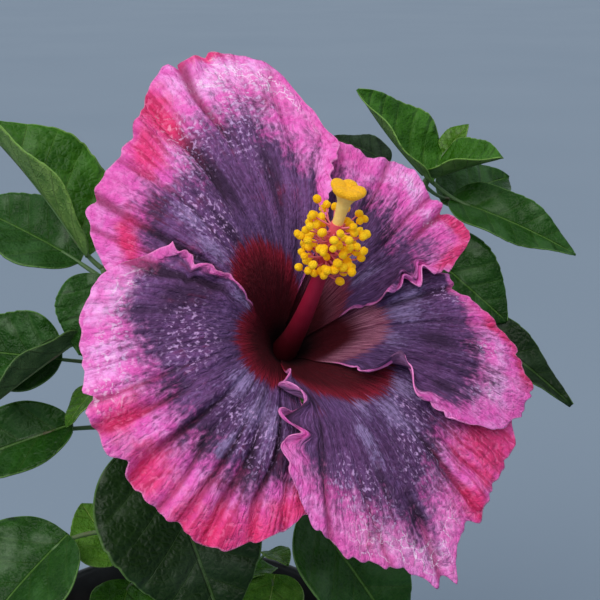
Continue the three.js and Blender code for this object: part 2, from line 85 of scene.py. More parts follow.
class Shade:
    """One socket in a finish. Python arithmetic on it adds the finish's Math nodes."""

    def __init__(self, finish, socket):
        self.finish, self.socket = finish, socket

    def maths(self, operation, *values):
        return self.finish.node("ShaderNodeMath", {"operation": operation}, dict(enumerate(values)))

    def __add__(self, other):
        return self.maths("ADD", self, other)

    def __radd__(self, other):
        return self.maths("ADD", other, self)

    def __sub__(self, other):
        return self.maths("SUBTRACT", self, other)

    def __rsub__(self, other):
        return self.maths("SUBTRACT", other, self)

    def __mul__(self, other):
        return self.maths("MULTIPLY", self, other)

    def __rmul__(self, other):
        return self.maths("MULTIPLY", other, self)

    def __abs__(self):
        return self.maths("ABSOLUTE", self)

    def fraction(self):
        return self.maths("FRACT", self)

    def most(self, other):
        return self.maths("MAXIMUM", self, other)

    def between(self, low, high):
        """0 at low, 1 at high, with a soft step from one to the other."""
        return self.finish.node(
            "ShaderNodeMapRange",
            {"interpolation_type": "SMOOTHSTEP"},
            {"Value": self, "From Min": low, "From Max": high},
        )


class Finish:
    """A finish for one kind of surface. Constants go straight on the shader's own sockets."""

    def __init__(self, name, **constants):
        self.material = bpy.data.materials.new(name)
        self.material.use_nodes = True
        self.tree = self.material.node_tree
        self.shader = self.tree.nodes["Principled BSDF"]
        for socket, value in constants.items():
            self.shader.inputs[socket.replace("_", " ")].default_value = value

    def node(self, kind, settings, inputs, output=0):
        """Adds one node: first its settings, then the values or links of its sockets."""
        made = self.tree.nodes.new(kind)
        for setting, value in settings.items():
            setattr(made, setting, value)
        for key, value in inputs.items():
            if isinstance(value, Shade):
                self.tree.links.new(value.socket, made.inputs[key])
            else:
                made.inputs[key].default_value = value
        return Shade(self, made.outputs[output])

    def mix(self, share, first, second):
        return self.node("ShaderNodeMix", {"data_type": "RGBA"}, {0: share, 6: first, 7: second}, 2)

    def place(self):
        return self.node("ShaderNodeTexCoord", {}, {}, "Object")

    def map(self, name):
        """The two coordinates of the piece's own map, apart."""
        uv = self.node("ShaderNodeUVMap", {"uv_map": name}, {})
        return [self.node("ShaderNodeSeparateXYZ", {}, {0: uv}, i) for i in (0, 1)]

    def vector(self, x, y, z=0.0):
        return self.node("ShaderNodeCombineXYZ", {}, {0: x, 1: y, 2: z})

    def grain(self, vector, scale, detail=2.0):
        return self.node("ShaderNodeTexNoise", {}, {"Vector": vector, "Scale": scale, "Detail": detail})

    def cells(self, vector, scale):
        return self.node("ShaderNodeTexVoronoi", {}, {"Vector": vector, "Scale": scale})

    def net(self, vector, scale):
        """Distance to the nearest thread of an irregular net."""
        feature = {"feature": "DISTANCE_TO_EDGE"}
        return self.node("ShaderNodeTexVoronoi", feature, {"Vector": vector, "Scale": scale})

    def height(self, place):
        return self.node("ShaderNodeSeparateXYZ", {}, {0: place}, 2)

    def wear(self, **sockets):
        """Links what varies over the surface to the shader."""
        for socket, value in sockets.items():
            self.tree.links.new(value.socket, self.shader.inputs[socket.replace("_", " ")])

    def relief(self, height, depth, strength=1.0):
        """Raises the surface by up to depth metres where height is 1."""
        bump = self.node("ShaderNodeBump", {}, {"Strength": strength, "Distance": depth, "Height": height})
        self.tree.links.new(bump.socket, self.shader.inputs["Normal"])


floor_paint = Finish("pale_floor", Roughness=0.95)
floor_paint.wear(
    Base_Color=floor_paint.mix(
        floor_paint.grain(floor_paint.place(), 1.5), tone(124, 139, 154), tone(132, 146, 160)
    )
)
bpy.ops.object.select_all(action="DESELECT")
bpy.ops.mesh.primitive_plane_add(size=80, location=(0, 0, -0.0004))
floor = bpy.context.object
floor.name = "studio_floor"
bpy.ops.object.transform_apply(location=True, rotation=True, scale=True)
floor.data.materials.append(floor_paint.material)


# ---- Pot -----------------------------------------------------------------------------------------
# A round nursery pot of thin black plastic, moulded in one piece: a tapered wall, a stiffening band
# and rounded lip at the top, a flat foot and six drain holes.
POT_SIDES = 128
DRAIN_HOLES, DRAIN_RADIUS, DRAIN_CIRCLE = 6, 0.005, 0.042
FOOT_RADIUS, WALL_LEAN, POT_HEIGHT = 0.061, 0.0204, 0.150


def turned(name, rings, sides):
    """A closed round body, pulled up ring by ring from its foot: (radius, height) in metres."""
    bpy.ops.object.select_all(action="DESELECT")
    bpy.ops.mesh.primitive_circle_add(
        vertices=sides, radius=rings[0][0], fill_type="NGON", location=(0, 0, rings[0][1])
    )
    bpy.ops.object.mode_set(mode="EDIT")
    for (radius, height), (wide, high) in zip(rings, rings[1:]):
        bpy.ops.mesh.extrude_region_move(TRANSFORM_OT_translate={"value": (0, 0, high - height)})
        share = wide / radius
        bpy.ops.transform.resize(value=(share, share, 1), center_override=(0, 0, high))
    bpy.ops.mesh.select_all(action="SELECT")
    bpy.ops.mesh.normals_make_consistent(inside=False)
    bpy.ops.object.mode_set(mode="OBJECT")
    bpy.ops.object.transform_apply(location=True, rotation=True, scale=True)
    bpy.context.object.name = name
    return bpy.context.object


def pot_wall(height):
    """Outer radius of the tapered wall at a height."""
    return FOOT_RADIUS + WALL_LEAN * height / POT_HEIGHT


pot = turned(
    "nursery_pot",
    [
        (0.0572, 0.0), (0.0586, 0.0002), (0.0600, 0.0008), (0.0609, 0.0018), (0.0613, 0.0032),
        (pot_wall(0.030), 0.030), (pot_wall(0.031) + 0.0004, 0.0308), (pot_wall(0.033) + 0.0004, 0.0332),
        (pot_wall(0.034), 0.034), (pot_wall(0.080), 0.080), (pot_wall(0.128), 0.128),
        (0.0790, 0.1325), (0.0794, 0.1339), (0.0806, 0.1346), (0.0822, 0.1349), (0.0830, 0.1354),
        (0.0833, 0.1366), (0.0838, 0.1460), (0.0839, 0.1476), (0.0837, 0.1489), (0.0831, 0.1497),
        (0.0822, 0.1500), (0.0810, 0.1500), (0.0801, 0.1496), (0.0795, 0.1488), (0.0791, 0.1476),
        (0.0780, 0.1400), (0.0771, 0.1340), (0.0680, 0.0700), (0.0590, 0.0030), (0.0582, 0.0024),
    ],
    POT_SIDES,
)
bpy.ops.object.select_all(action="DESELECT")
for hole in range(DRAIN_HOLES):
    turn = 2 * math.pi * (hole + 0.5) / DRAIN_HOLES
    bpy.ops.mesh.primitive_cylinder_add(
        vertices=28,
        radius=DRAIN_RADIUS,
        depth=0.012,
        location=(DRAIN_CIRCLE * math.cos(turn), DRAIN_CIRCLE * math.sin(turn), 0.0),
    )
    drill = bpy.context.object
    cut = pot.modifiers.new("drain_hole", "BOOLEAN")
    cut.operation, cut.object, cut.solver = "DIFFERENCE", drill, "EXACT"
    bpy.context.view_layer.objects.active = pot
    bpy.ops.object.modifier_apply(modifier=cut.name)
    bpy.data.objects.remove(drill)
bpy.ops.object.select_all(action="DESELECT")
pot.select_set(True)
bpy.context.view_layer.objects.active = pot
bpy.ops.object.shade_smooth_by_angle(angle=math.radians(38))

pot_plastic = Finish("black_plastic", Specular_IOR_Level=0.42)
spot = pot_plastic.place()
height = pot_plastic.height(spot)
scuffs = pot_plastic.grain(spot, 90.0, 6.0)
dust = pot_plastic.grain(spot, 22.0, 8.0)
splash = height.between(0.146, 0.128) * dust.between(0.46, 0.66) * 0.18
foot_dust = height.between(0.035, 0.0) * dust.between(0.42, 0.72) * 0.22
soiled = splash.most(foot_dust)
pot_plastic.wear(
    Base_Color=pot_plastic.mix(
        soiled, pot_plastic.mix(scuffs.between(0.45, 0.7), tone(17, 20, 21), tone(27, 31, 32)),
        tone(92, 80, 66)
    ),
    Roughness=0.36 + scuffs * 0.22 + soiled * 0.35,
)
pot_plastic.relief(pot_plastic.grain(spot, 900.0, 2.0) * 0.5 + scuffs * 0.4, 0.00012, 0.7)
pot.data.materials.append(pot_plastic.material)
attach(pot, "root")
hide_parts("pot")


# ---- Potting mix ---------------------------------------------------------------------------------
# Moist brown peat with bark chips and a few white grains of perlite, filled to two centimetres below
# the lip and heaped a little round the trunk.
MIX_HEIGHT, MIX_DISH, MIX_HEAP = 0.1300, 0.0012, 0.0028
HEAP_EDGE, HEAP_SLOPE = 0.040, 0.022
MIX_INNER, MIX_OUTER = 0.04, 0.076
CRUMBLY_ABOVE, CRUMB_HEIGHT = 0.1288, 0.0011


def mix_top(radius):
    """Height of the mix at a distance from the pot's axis."""
    heap = np.clip((HEAP_EDGE - radius) / HEAP_SLOPE, 0, 1)
    dish = MIX_DISH * (MIX_OUTER - np.clip(radius, MIX_INNER, MIX_OUTER)) / (MIX_OUTER - MIX_INNER)
    return MIX_HEIGHT + dish + MIX_HEAP * heap * heap * (3 - 2 * heap)


steps = [0.0755 - 0.0019 * i for i in range(39)]
soil = turned(
    "potting_mix",
    [(0.0582, 0.0028), (0.0672, 0.0700), (0.0752, 0.1270), (0.0757, 0.1292)]
    + [(r, float(mix_top(r))) for r in steps],
    96,
)
for vertex in soil.data.vertices:
    if vertex.co.z > CRUMBLY_ABOVE:
        rough = noise.fractal(vertex.co * 90, 0.9, 2.1, 5) + 0.6 * noise.noise(vertex.co * 420)
        vertex.co.z += CRUMB_HEIGHT * rough
bpy.ops.object.shade_smooth_by_angle(angle=math.radians(60))

peat = Finish("moist_peat", Specular_IOR_Level=0.25)
spot = peat.place()
crumbs = peat.grain(spot, 260.0, 8.0)
clods = peat.grain(spot, 55.0, 4.0)
peat.wear(
    Base_Color=peat.mix(clods.between(0.4, 0.65), peat.mix(crumbs, tone(26, 18, 12), tone(74, 54, 38)),
                        tone(52, 39, 29)),
    Roughness=0.96 - clods.between(0.5, 0.8) * 0.22,
)
peat.relief(crumbs * 0.7 + clods * 0.3, 0.0016)
soil.data.materials.append(peat.material)
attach(soil, "root")
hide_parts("soil")


class Heap:
    """Many small like things collected as arrays and joined as one mesh."""

    def __init__(self):
        self.points, self.faces, self.finishes, self.maps, self.count = [], [], [], {}, 0

    def add(self, points, faces, finish=0, **maps):
        self.points.append(points)
        self.faces.extend([[i + self.count for i in face] for face in faces])
        self.finishes.extend([finish] * len(faces))
        for name, pairs in maps.items():
            self.maps.setdefault(name, []).append(pairs)
        self.count += len(points)

    def piece(self, name, finishes, angle=None):
        data = bpy.data.meshes.new(name)
        points = np.concatenate(self.points)
        data.from_pydata(points.tolist(), [], self.faces)
        corners = np.empty(len(data.loops), dtype=np.int32)
        data.loops.foreach_get("vertex_index", corners)
        for map_name, pairs in self.maps.items():
            layer = data.uv_layers.new(name=map_name)
            layer.data.foreach_set("uv", np.concatenate(pairs)[corners].astype(np.float32).ravel())
        data.polygons.foreach_set("material_index", self.finishes)
        data.polygons.foreach_set("use_smooth", [True] * len(self.faces))
        for finish in finishes:
            data.materials.append(finish.material)
        made = bpy.data.objects.new(name, data)
        bpy.context.collection.objects.link(made)
        bpy.ops.object.select_all(action="DESELECT")
        made.select_set(True)
        bpy.context.view_layer.objects.active = made
        if angle is not None:
            bpy.ops.object.shade_smooth_by_angle(angle=math.radians(angle))
        return made


def pattern_of(add_primitive, **sizes):
    """Points and faces of a primitive, kept as a pattern for many copies."""
    bpy.ops.object.select_all(action="DESELECT")
    add_primitive(**sizes)
    made = bpy.context.object
    points = np.array([vertex.co for vertex in made.data.vertices])
    faces = [list(face.vertices) for face in made.data.polygons]
    bpy.data.objects.remove(made)
    return points, faces


def turned_by(random):
    """A random turn, as a matrix."""
    a, b, c, d = random.normal(size=4)
    n = math.sqrt(a * a + b * b + c * c + d * d)
    a, b, c, d = a / n, b / n, c / n, d / n
    return np.array([
        [1 - 2 * (c * c + d * d), 2 * (b * c - a * d), 2 * (b * d + a * c)],
        [2 * (b * c + a * d), 1 - 2 * (b * b + d * d), 2 * (c * d - a * b)],
        [2 * (b * d - a * c), 2 * (c * d + a * b), 1 - 2 * (b * b + c * c)],
    ])


chance = np.random.default_rng(41)
pebble_points, pebble_faces = pattern_of(bpy.ops.mesh.primitive_ico_sphere_add, subdivisions=1, radius=1)
bark_chip = Finish("bark_chip", Roughness=0.9)
spot = bark_chip.place()
bark_chip.wear(Base_Color=bark_chip.mix(bark_chip.grain(spot, 120.0, 4.0).between(0.3, 0.7),
                                        tone(50, 33, 22), tone(112, 80, 56)))
bark_chip.relief(bark_chip.grain(spot, 900.0, 4.0), 0.0004)
perlite = Finish("perlite", Roughness=0.9)
spot = perlite.place()
perlite.wear(Base_Color=perlite.mix(perlite.grain(spot, 700.0, 2.0), tone(196, 192, 182),
                                    tone(240, 238, 230)))
perlite.relief(perlite.grain(spot, 1400.0, 3.0), 0.0003)
for name, finish, count, low, high in (
    ("bark_chips", bark_chip, 1100, (0.0012, 0.0009, 0.0006), (0.0046, 0.0026, 0.0013)),
    ("perlite_grains", perlite, 170, (0.0007, 0.0007, 0.0006), (0.0017, 0.0015, 0.0013)),
):
    grains = Heap()
    for grain in range(count):
        radius = math.sqrt(chance.uniform(0.014**2, 0.0735**2))
        turn = chance.uniform(0, 2 * math.pi)
        middle = np.array([radius * math.cos(turn), radius * math.sin(turn), mix_top(radius) + 0.0006])
        rough = 1 + 0.28 * chance.normal(size=(len(pebble_points), 1)).clip(-1.5, 1.5)
        shape = pebble_points * rough * chance.uniform(low, high)
        grains.add(shape @ turned_by(chance).T + middle, pebble_faces)
    piece = grains.piece(name, [finish], 30)
    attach(piece, "root")


# ---- Trunk and boughs ----------------------------------------------------------------------------
# One short woody stem, flared at the mix, that forks into five boughs. Young hibiscus bark: thin,
# grey-brown, finely furrowed along the grain, with pale pores and the scars of fallen leaves.
MM = 0.001
FORK = (16, 5, 200)
TRUNK = ((0, 0, 131.5), (1, 1, 166), FORK)
BOUGHS = {
    "bough_left": ((11, 3, 195), (1, -3, 212), (-2, -4, 234), (4.4, 3.2)),
    "bough_front": ((16, -3, 197), (23, -14, 219), (28, -22, 246), (4.6, 3.5)),
    "bough_right": ((19, 5, 198), (50, 14, 236), (74, 30, 284), (4.6, 3.2)),
    "bough_back_left": ((14, 8, 196), (2, 34, 228), (4, 60, 262), (4.2, 3.0)),
    "bough_back_right": ((18, 9, 198), (34, 42, 230), (52, 64, 266), (4.2, 3.0)),
}
TRUNK_RADII, ROOT_FLARE, FLARE_HEIGHT = (8.2, 6.4), 5.5, 14
FURROW_DEPTH, LUMP_HEIGHT = 0.00038, 0.00045


def smooth(low, high, value):
    """0 at low, 1 at high, with a soft step between."""
    share = np.clip((np.asarray(value, float) - low) / (high - low), 0, 1)
    return share * share * (3 - 2 * share)


def path(a, b, c):
    """A bent line from a by way of b to c, as a function of a share from 0 to 1."""
    a, b, c = (np.asarray(point, float) for point in (a, b, c))

    def at(share):
        t = np.asarray(share, float)[..., None]
        return (1 - t) ** 2 * a + 2 * t * (1 - t) * b + t * t * c

    return at


def tube(points, radii, sides):
    """Points and faces of a round closed limb along a row of points, in the points' own units."""
    points = np.asarray(points, float)
    along = np.gradient(points, axis=0)
    along /= np.linalg.norm(along, axis=1)[:, None]
    side = np.cross(along[0], (0.31, 0.52, 0.79) if abs(along[0][2]) < 0.9 else (1, 0, 0))
    rings = []
    turns = np.linspace(0, 2 * math.pi, sides, endpoint=False)
    for i, point in enumerate(points):
        side = side - along[i] * (side @ along[i])
        side /= np.linalg.norm(side)
        other = np.cross(along[i], side)
        rings.append(point + radii[i] * (np.outer(np.cos(turns), side) + np.outer(np.sin(turns), other)))
    faces = [
        [k * sides + i, k * sides + (i + 1) % sides, (k + 1) * sides + (i + 1) % sides, (k + 1) * sides + i]
        for k in range(len(points) - 1)
        for i in range(sides)
    ]
    last = (len(points) - 1) * sides
    faces += [list(range(sides))[::-1], [last + i for i in range(sides)]]
    return np.concatenate(rings), faces


shares = np.linspace(0, 1, 40)
limbs = Heap()
rise = (FORK[2] - TRUNK[0][2]) * shares
trunk_radii = TRUNK_RADII[0] + (TRUNK_RADII[1] - TRUNK_RADII[0]) * shares
narrowing = 1 - 0.45 * smooth(0.9, 1, shares)
trunk_radii = trunk_radii * narrowing + ROOT_FLARE * np.exp(-1.6 * rise / FLARE_HEIGHT)
points, faces = tube(path(*TRUNK)(shares), trunk_radii, 28)
limbs.add(points * MM, faces)
for foot, bend, tip, (wide, thin) in BOUGHS.values():
    points, faces = tube(path(foot, bend, tip)(shares), wide + (thin - wide) * shares, 20)
    limbs.add(points * MM, faces)
wood = limbs.piece("trunk_and_boughs", [])
fuse = wood.modifiers.new("fuse", "REMESH")
fuse.mode, fuse.voxel_size = "VOXEL", 0.00085
bpy.ops.object.modifier_apply(modifier=fuse.name)
ease = wood.modifiers.new("ease", "SMOOTH")
ease.factor, ease.iterations = 0.6, 10
bpy.ops.object.modifier_apply(modifier=ease.name)
for vertex in wood.data.vertices:
    spot = vertex.co
    turn = math.atan2(spot.y - 0.002, spot.x - 0.004)
    furrow = noise.fractal(Vector((math.cos(turn) * 5, math.sin(turn) * 5, spot.z * 45)), 0.8, 2.0, 4)
    lump = noise.noise(spot * 110)
    vertex.co += vertex.normal * (FURROW_DEPTH * furrow + LUMP_HEIGHT * lump)
for face in wood.data.polygons:
    face.use_smooth = True

bark = Finish("grey_brown_bark", Specular_IOR_Level=0.3)
spot = bark.place()
grain_lines = bark.node("ShaderNodeMapping", {}, {"Vector": spot, "Scale": (1, 1, 0.16)})
fissure = bark.grain(grain_lines, 620.0, 6.0)
patches = bark.grain(spot, 75.0, 3.0)
pores = bark.cells(spot, 330.0).between(0.26, 0.12)
height = bark.height(spot)
green = height.between(0.205, 0.262) * 0.85
old = bark.mix(fissure.between(0.36, 0.62), tone(70, 56, 43), tone(133, 115, 94))
old = bark.mix(patches.between(0.5, 0.68) * 0.5, old, tone(104, 103, 84))
young = bark.mix(fissure, tone(84, 92, 50), tone(126, 130, 78))
bark.wear(
    Base_Color=bark.mix(pores * 0.55, bark.mix(green, old, young), tone(176, 160, 132)),
    Roughness=0.9 - green * 0.3,
)
bark.relief(fissure * 0.8 + pores * 0.5, 0.0007)
wood.data.materials.clear()
wood.data.materials.append(bark.material)
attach(wood, "root")
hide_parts("trunk", *BOUGHS)


# ---- Leaves --------------------------------------------------------------------------------------
# Glossy oval hibiscus leaves with toothed margins, on round stalks that spring one by one from green
# shoots, each turned on from the last by the golden angle. Every mass grows from one stem on its
# bough, keeps inside its own space, and carries small young leaves on finer twigs.
GAP = 0.3
LEAF_THICKNESS = 0.62
PETIOLE_RADII = (1.25, 0.8)
GOLDEN_ANGLE = 137.5
LIMB_CLEARANCE = 8
TEETH, VEINS = 12, 5.5
PROBES = ((0, 0.3), (0, 0.6), (0, 1), (-1, 0.25), (1, 0.25), (-1, 0.6), (1, 0.6))
POSED_GRID, GROWN_GRID, YOUNG_GRID = (18, 72), (12, 44), (8, 20)
# Leaf finishes by index: one leaf green painted in shade, in half shade and in light, then the young leaves'
# own paler green.
PAINTED_SHADE, PAINTED_HALF_SHADE, PAINTED_LIGHT, YOUNG = 0, 1, 2, 3  # the four leaf finishes
UNDERSIDES = 4  # the first of the four finishes of a blade's back
WIDEST = 2.541  # brings the widest place of the blade's outline to its full width
BLADE_NET = 34.0  # meshes of fine veins along a blade

# Posed leaves: stem, share of its length, stalk (heading, rise, length), blade (heading, pitch,
# length, width), roll, fold, arch, finish: one of painted shade, half shade, painted light and young.
# The rest come by the rule.
MASSES = {
    "foliage_left": dict(
        stem=((-2, -4, 234), (-16, -12, 284), (-27, -35, 338)),
        radii=(3.1, 1.5),
        twigs=[(0.04, (-12, -22, 236), (-27, -46, 220))],
        posed=[
            (0, 0.99, (184, 37, 9), (160, 48, 77, 60), 0, 46, 18, PAINTED_LIGHT),
            (0, 0.93, (149, 25, 17), (150, 17, 63, 42), -34, 22, 14, PAINTED_HALF_SHADE),
            (0, 0.88, (258, 55, 12), (232, -63, 36, 36), -10, 14, 14, PAINTED_HALF_SHADE),
            (0, 0.52, (202, 12, 35), (172, 3, 52, 40), -52, 18, 14, PAINTED_HALF_SHADE),
            (0, 0.62, (229, 23, 29), (209, -31, 64, 34), 26, 26, 6, PAINTED_SHADE),
            (0, 0.2, (217, 15, 46), (191, -18, 85, 36), -46, 22, 10, PAINTED_HALF_SHADE),
            (0, 0.4, (230, 20, 29), (212, -45, 24, 18), 0, 12, 16, YOUNG),
            (1, 1.0, (196, 2, 18), (213, -41, 62, 58), -20, 16, 20, PAINTED_HALF_SHADE),
            (1, 0.75, (255, -62, 26), (132, 34, 35, 32), -20, 14, 16, YOUNG),
        ],
        space=((-50, -14, 214), (30, 40, 372)),
        sprigs=1, leaves=6, first=78, seed=11,
    ),
    "foliage_front": dict(
        stem=((28, -22, 246), (31, -26, 261), (34, -34, 276)),
        radii=(3.4, 2.4),
        twigs=[(0.25, (18, -34, 264), (8, -49, 272)), (0.12, (38, -32, 254), (47, -45, 249))],
        posed=[
            (1, 0.98, (237, 6, 23), (317, -61, 86, 72), 36, 13, 20, PAINTED_SHADE),
            (2, 0.98, (298, -15, 30), (349, -55, 76, 50), 42, 14, 18, PAINTED_HALF_SHADE),
        ],
        space=((22, -66, 212), (104, 4, 286)),
        sprigs=0, leaves=6, first=330, seed=23,
    ),
    "foliage_right": dict(
        stem=((74, 30, 284), (102, 40, 329), (126, 66, 368)),
        radii=(3.1, 1.4),
        twigs=[],
        posed=[
            (0, 0.98, (255, -43, 12), (180, 51, 59, 52), -22, 30, -16, PAINTED_LIGHT),
            (0, 0.99, (262, -35, 11), (327, 20, 38, 38), 16, 32, 10, PAINTED_LIGHT),
            (0, 0.99, (29, 41, 6), (17, 48, 19, 14), 30, 20, 10, YOUNG),
            (0, 0.9, (343, -42, 15), (343, -21, 67, 31), 40, 18, 22, PAINTED_HALF_SHADE),
            (0, 0.86, (48, -36, 19), (41, 8, 51, 36), 34, 16, 20, PAINTED_HALF_SHADE),
            (0, 0.82, (116, 17, 33), (153, 18, 35, 22), -20, 14, 18, PAINTED_SHADE),
            (0, 0.6, (30, -34, 15), (338, -37, 57, 44), 56, 10, 14, PAINTED_HALF_SHADE),
            (0, 0.35, (13, -20, 33), (342, -35, 86, 28), 36, 20, 16, PAINTED_SHADE),
        ],
        space=((60, -26, 214), (138, 44, 330)),
        sprigs=1, leaves=7, first=200, seed=37,
    ),
    "foliage_back_left": dict(
        stem=((4, 60, 262), (5, 92, 300), (12, 112, 332)),
        radii=(2.9, 1.4),
        twigs=[],
        posed=[],
        space=((-52, 46, 196), (44, 190, 384)),
        sprigs=3, leaves=12, first=120, seed=41,
    ),
    "foliage_back_right": dict(
        stem=((52, 64, 266), (72, 92, 302), (86, 112, 330)),
        radii=(2.9, 1.4),
        twigs=[],
        posed=[],
        space=((46, 46, 196), (142, 190, 384)),
        sprigs=3, leaves=12, first=20, seed=59,
    ),
    "foliage_low": dict(
        stem=((8, -3, 172), (22, -14, 178), (36, -22, 186)),
        radii=(2.4, 1.6),
        twigs=[(0.3, (2, -17, 178), (-16, -22, 182))],
        posed=[
            (0, 0.98, (356, 8, 11), (258, -43, 39, 34), 0, 14, 20, YOUNG),
            (1, 0.98, (135, -10, 11), (260, -39, 35, 32), 0, 14, 20, PAINTED_LIGHT),
        ],
        space=((-70, -40, 158), (80, 6, 208)),
        sprigs=0, leaves=0, first=0, seed=71,
    ),
    "foliage_low_back": dict(
        stem=((6, 6, 170), (8, 26, 176), (16, 44, 188)),
        radii=(2.4, 1.5),
        twigs=[],
        posed=[],
        space=((-52, 8, 156), (84, 118, 212)),
        sprigs=0, leaves=8, first=60, seed=83,
    ),
}


def draw(number):
    """A repeatable draw between 0 and 1 for each whole number."""
    value = math.sin(number * 12.9898) * 43758.5453
    return value - math.floor(value)


def direction(heading, rise):
    heading, rise = math.radians(heading), math.radians(rise)
    return np.array([math.cos(heading) * math.cos(rise), math.sin(heading) * math.cos(rise), math.sin(rise)])


def turned_about(vector, axle, degrees):
    angle = math.radians(degrees)
    return (
        vector * math.cos(angle) + np.cross(axle, vector) * math.sin(angle)
        + axle * (axle @ vector) * (1 - math.cos(angle))
    )


def half_width(v):
    """Half the blade's width at a share of its length, in its greatest widths."""
    return 0.5 * WIDEST * v**0.52 * (1 - v) ** 0.9


def blade_surface(base, heading, pitch, length, width, roll, fold, arch, character=0.0):
    """The blade's middle surface: an arched rib from its base, and both halves folded up about it.
    With a character its margin is toothed and waved, and the surface swells between the veins."""
    along = direction(heading, pitch)
    level = direction(heading - 90, 0)
    side = turned_about(level, along, roll)
    normal = turned_about(np.cross(level, along), along, roll)
    half = math.radians(arch) / 2
    bow = length / (2 * math.sin(half))
    slant = math.radians(fold)

    def at(u, v):
        u, v = np.asarray(u, float), np.asarray(v, float)
        angle = half * (1 - 2 * v)
        wide = np.maximum(half_width(v) * width, 0.25 if character else 0.7)
        if character:
            tooth = (v * TEETH + 0.5 * (u > 0)) % 1.0
            tooth = np.where(tooth < 0.8, tooth / 0.8, (1 - tooth) / 0.2) - 0.45
            wide = wide * (1 + 0.028 * tooth * smooth(0.30, 0.5, v) * (1 - 0.4 * smooth(0.8, 1, v)))
        lift = np.cos(angle)[..., None] * normal - np.sin(angle)[..., None] * along
        out = np.abs(u) * wide
        dish = math.sin(slant) * out
        if character:
            phase = 2 * math.pi * character
            reach = np.abs(u)
            dish = dish * (0.75 + 0.25 * reach)
            wave = np.sin(2 * math.pi * 2.0 * v + phase + 1.6 * np.sign(u))
            dish = dish + 0.022 * length * reach**2 * wave * smooth(0, 0.2, v)
            rib = (v - 0.85 * out / length + 0.5 * (out / length) ** 2) * VEINS + 0.5 * (u > 0)
            swell = np.abs(np.sin(math.pi * rib)) * smooth(0, 0.12, reach) * (1 - smooth(0.82, 1.0, reach))
            dish = dish + 0.0052 * length * (swell - 0.5) * smooth(0.03, 0.15, v) * (1 - smooth(0.85, 1, v))
        return (
            base
            + (bow * (math.sin(half) - np.sin(angle)))[..., None] * along
            + (bow * (np.cos(angle) - math.cos(half)))[..., None] * normal
            + (u * wide * math.cos(slant))[..., None] * side
            + dish[..., None] * lift
        )

    def lateral(u, v):
        return u * half_width(v) * width / length

    return at, lateral


def grid(across, along, reverse=False):
    """u in -1..1 and v in 0..1 over a sheet, row by row, and the sheet's faces."""
    v, u = np.meshgrid(np.linspace(0, 1, along + 1), np.linspace(-1, 1, across + 1), indexing="ij")
    row = across + 1
    faces = [
        [j * row + i, j * row + i + 1, (j + 1) * row + i + 1, (j + 1) * row + i]
        for j in range(along)
        for i in range(across)
    ]
    return u.ravel(), v.ravel(), [face[::-1] for face in faces] if reverse else faces


limb_points = np.concatenate([path(*bough[:3])(np.linspace(0, 1, 17)) for bough in BOUGHS.values()])
sheets = {size: grid(*size) for size in (POSED_GRID, GROWN_GRID, YOUNG_GRID)}


def within(space, probes):
    low, high = np.array(space)
    near = np.linalg.norm(probes[:, None, :] - limb_points[None, :, :], axis=2).min()
    return bool((probes >= low).all() and (probes <= high).all() and near > LIMB_CLEARANCE)


def leaf(curve, share, stalk, blade, roll, fold, arch, finish, size, number):
    """One leaf: its stalk, its blade and the rib that runs on under the blade."""
    heading, rise, reach = stalk
    foot = curve(share)
    base = foot + direction(heading, rise) * reach
    plain, _ = blade_surface(base, *blade, roll, fold, arch)
    surface, lateral = blade_surface(base, *blade, roll, fold, arch, 0.05 + draw(number))
    return dict(
        foot=foot, base=base, plain=plain, surface=surface, lateral=lateral, finish=finish, size=size,
        length=blade[2], number=number,
        probes=plain([p[0] for p in PROBES], [p[1] for p in PROBES]),
    )


def grown_leaves(curve, count, first, seed, space, start=0.12):
    made = []
    for k in range(count):
        pick = [draw(seed * 101 + k * 17 + i) for i in range(10)]
        heading = first + k * GOLDEN_ANGLE
        length = 56 + 24 * pick[1]
        one = leaf(
            curve,
            start + (0.95 - start) * (k + 0.5) / count,
            (heading, 38 - 30 * pick[2], 14 + 14 * pick[3]),
            (heading - 20 + 40 * pick[4], 12 - 48 * pick[5], length, length * (0.62 + 0.14 * pick[6])),
            -18 + 36 * pick[7],
            12 + 14 * pick[8],
            18 + 28 * pick[9],
            (PAINTED_SHADE, PAINTED_HALF_SHADE, PAINTED_LIGHT, PAINTED_HALF_SHADE)[k % 4],
            GROWN_GRID,
            seed * 101 + k,
        )
        if within(space, one["probes"]):
            made.append(one)
    return made


def young_leaves(curve, count, first, seed, space):
    """Short side shoots with three small leaves each, where they stay inside the space."""
    twigs, made = [], []
    for k in range(count):
        pick = [draw(seed * 67 + k * 13 + i) for i in range(12)]
        foot = curve(0.1 + 0.85 * (k + 0.5) / count)
        heading = first + 60 + k * GOLDEN_ANGLE
        tip = foot + direction(heading, 20 + 30 * pick[0]) * (15 + 12 * pick[1])
        shoot = path(foot, foot + direction(heading, 8) * 9, tip)
        leaves = [
            leaf(
                shoot,
                0.45 + 0.26 * n,
                (heading + 130 * n, 30, 4 + 3 * pick[2 + n]),
                (heading + 130 * n + 20 * pick[5 + n], 25 - 45 * pick[5 + n], 20 + 11 * pick[8 + n],
                 13 + 7 * pick[8 + n]),
                -15 + 30 * pick[2 + n], 18, 20, YOUNG if n == 2 else PAINTED_LIGHT, YOUNG_GRID, seed * 67 + k * 3 + n,
            )
            for n in range(3)
        ]
        leaves = [one for one in leaves if within(space, one["probes"])]
        if len(leaves) > 1:
            twigs.append((shoot, (1.0, 0.6)))
            made += leaves
    return twigs, made


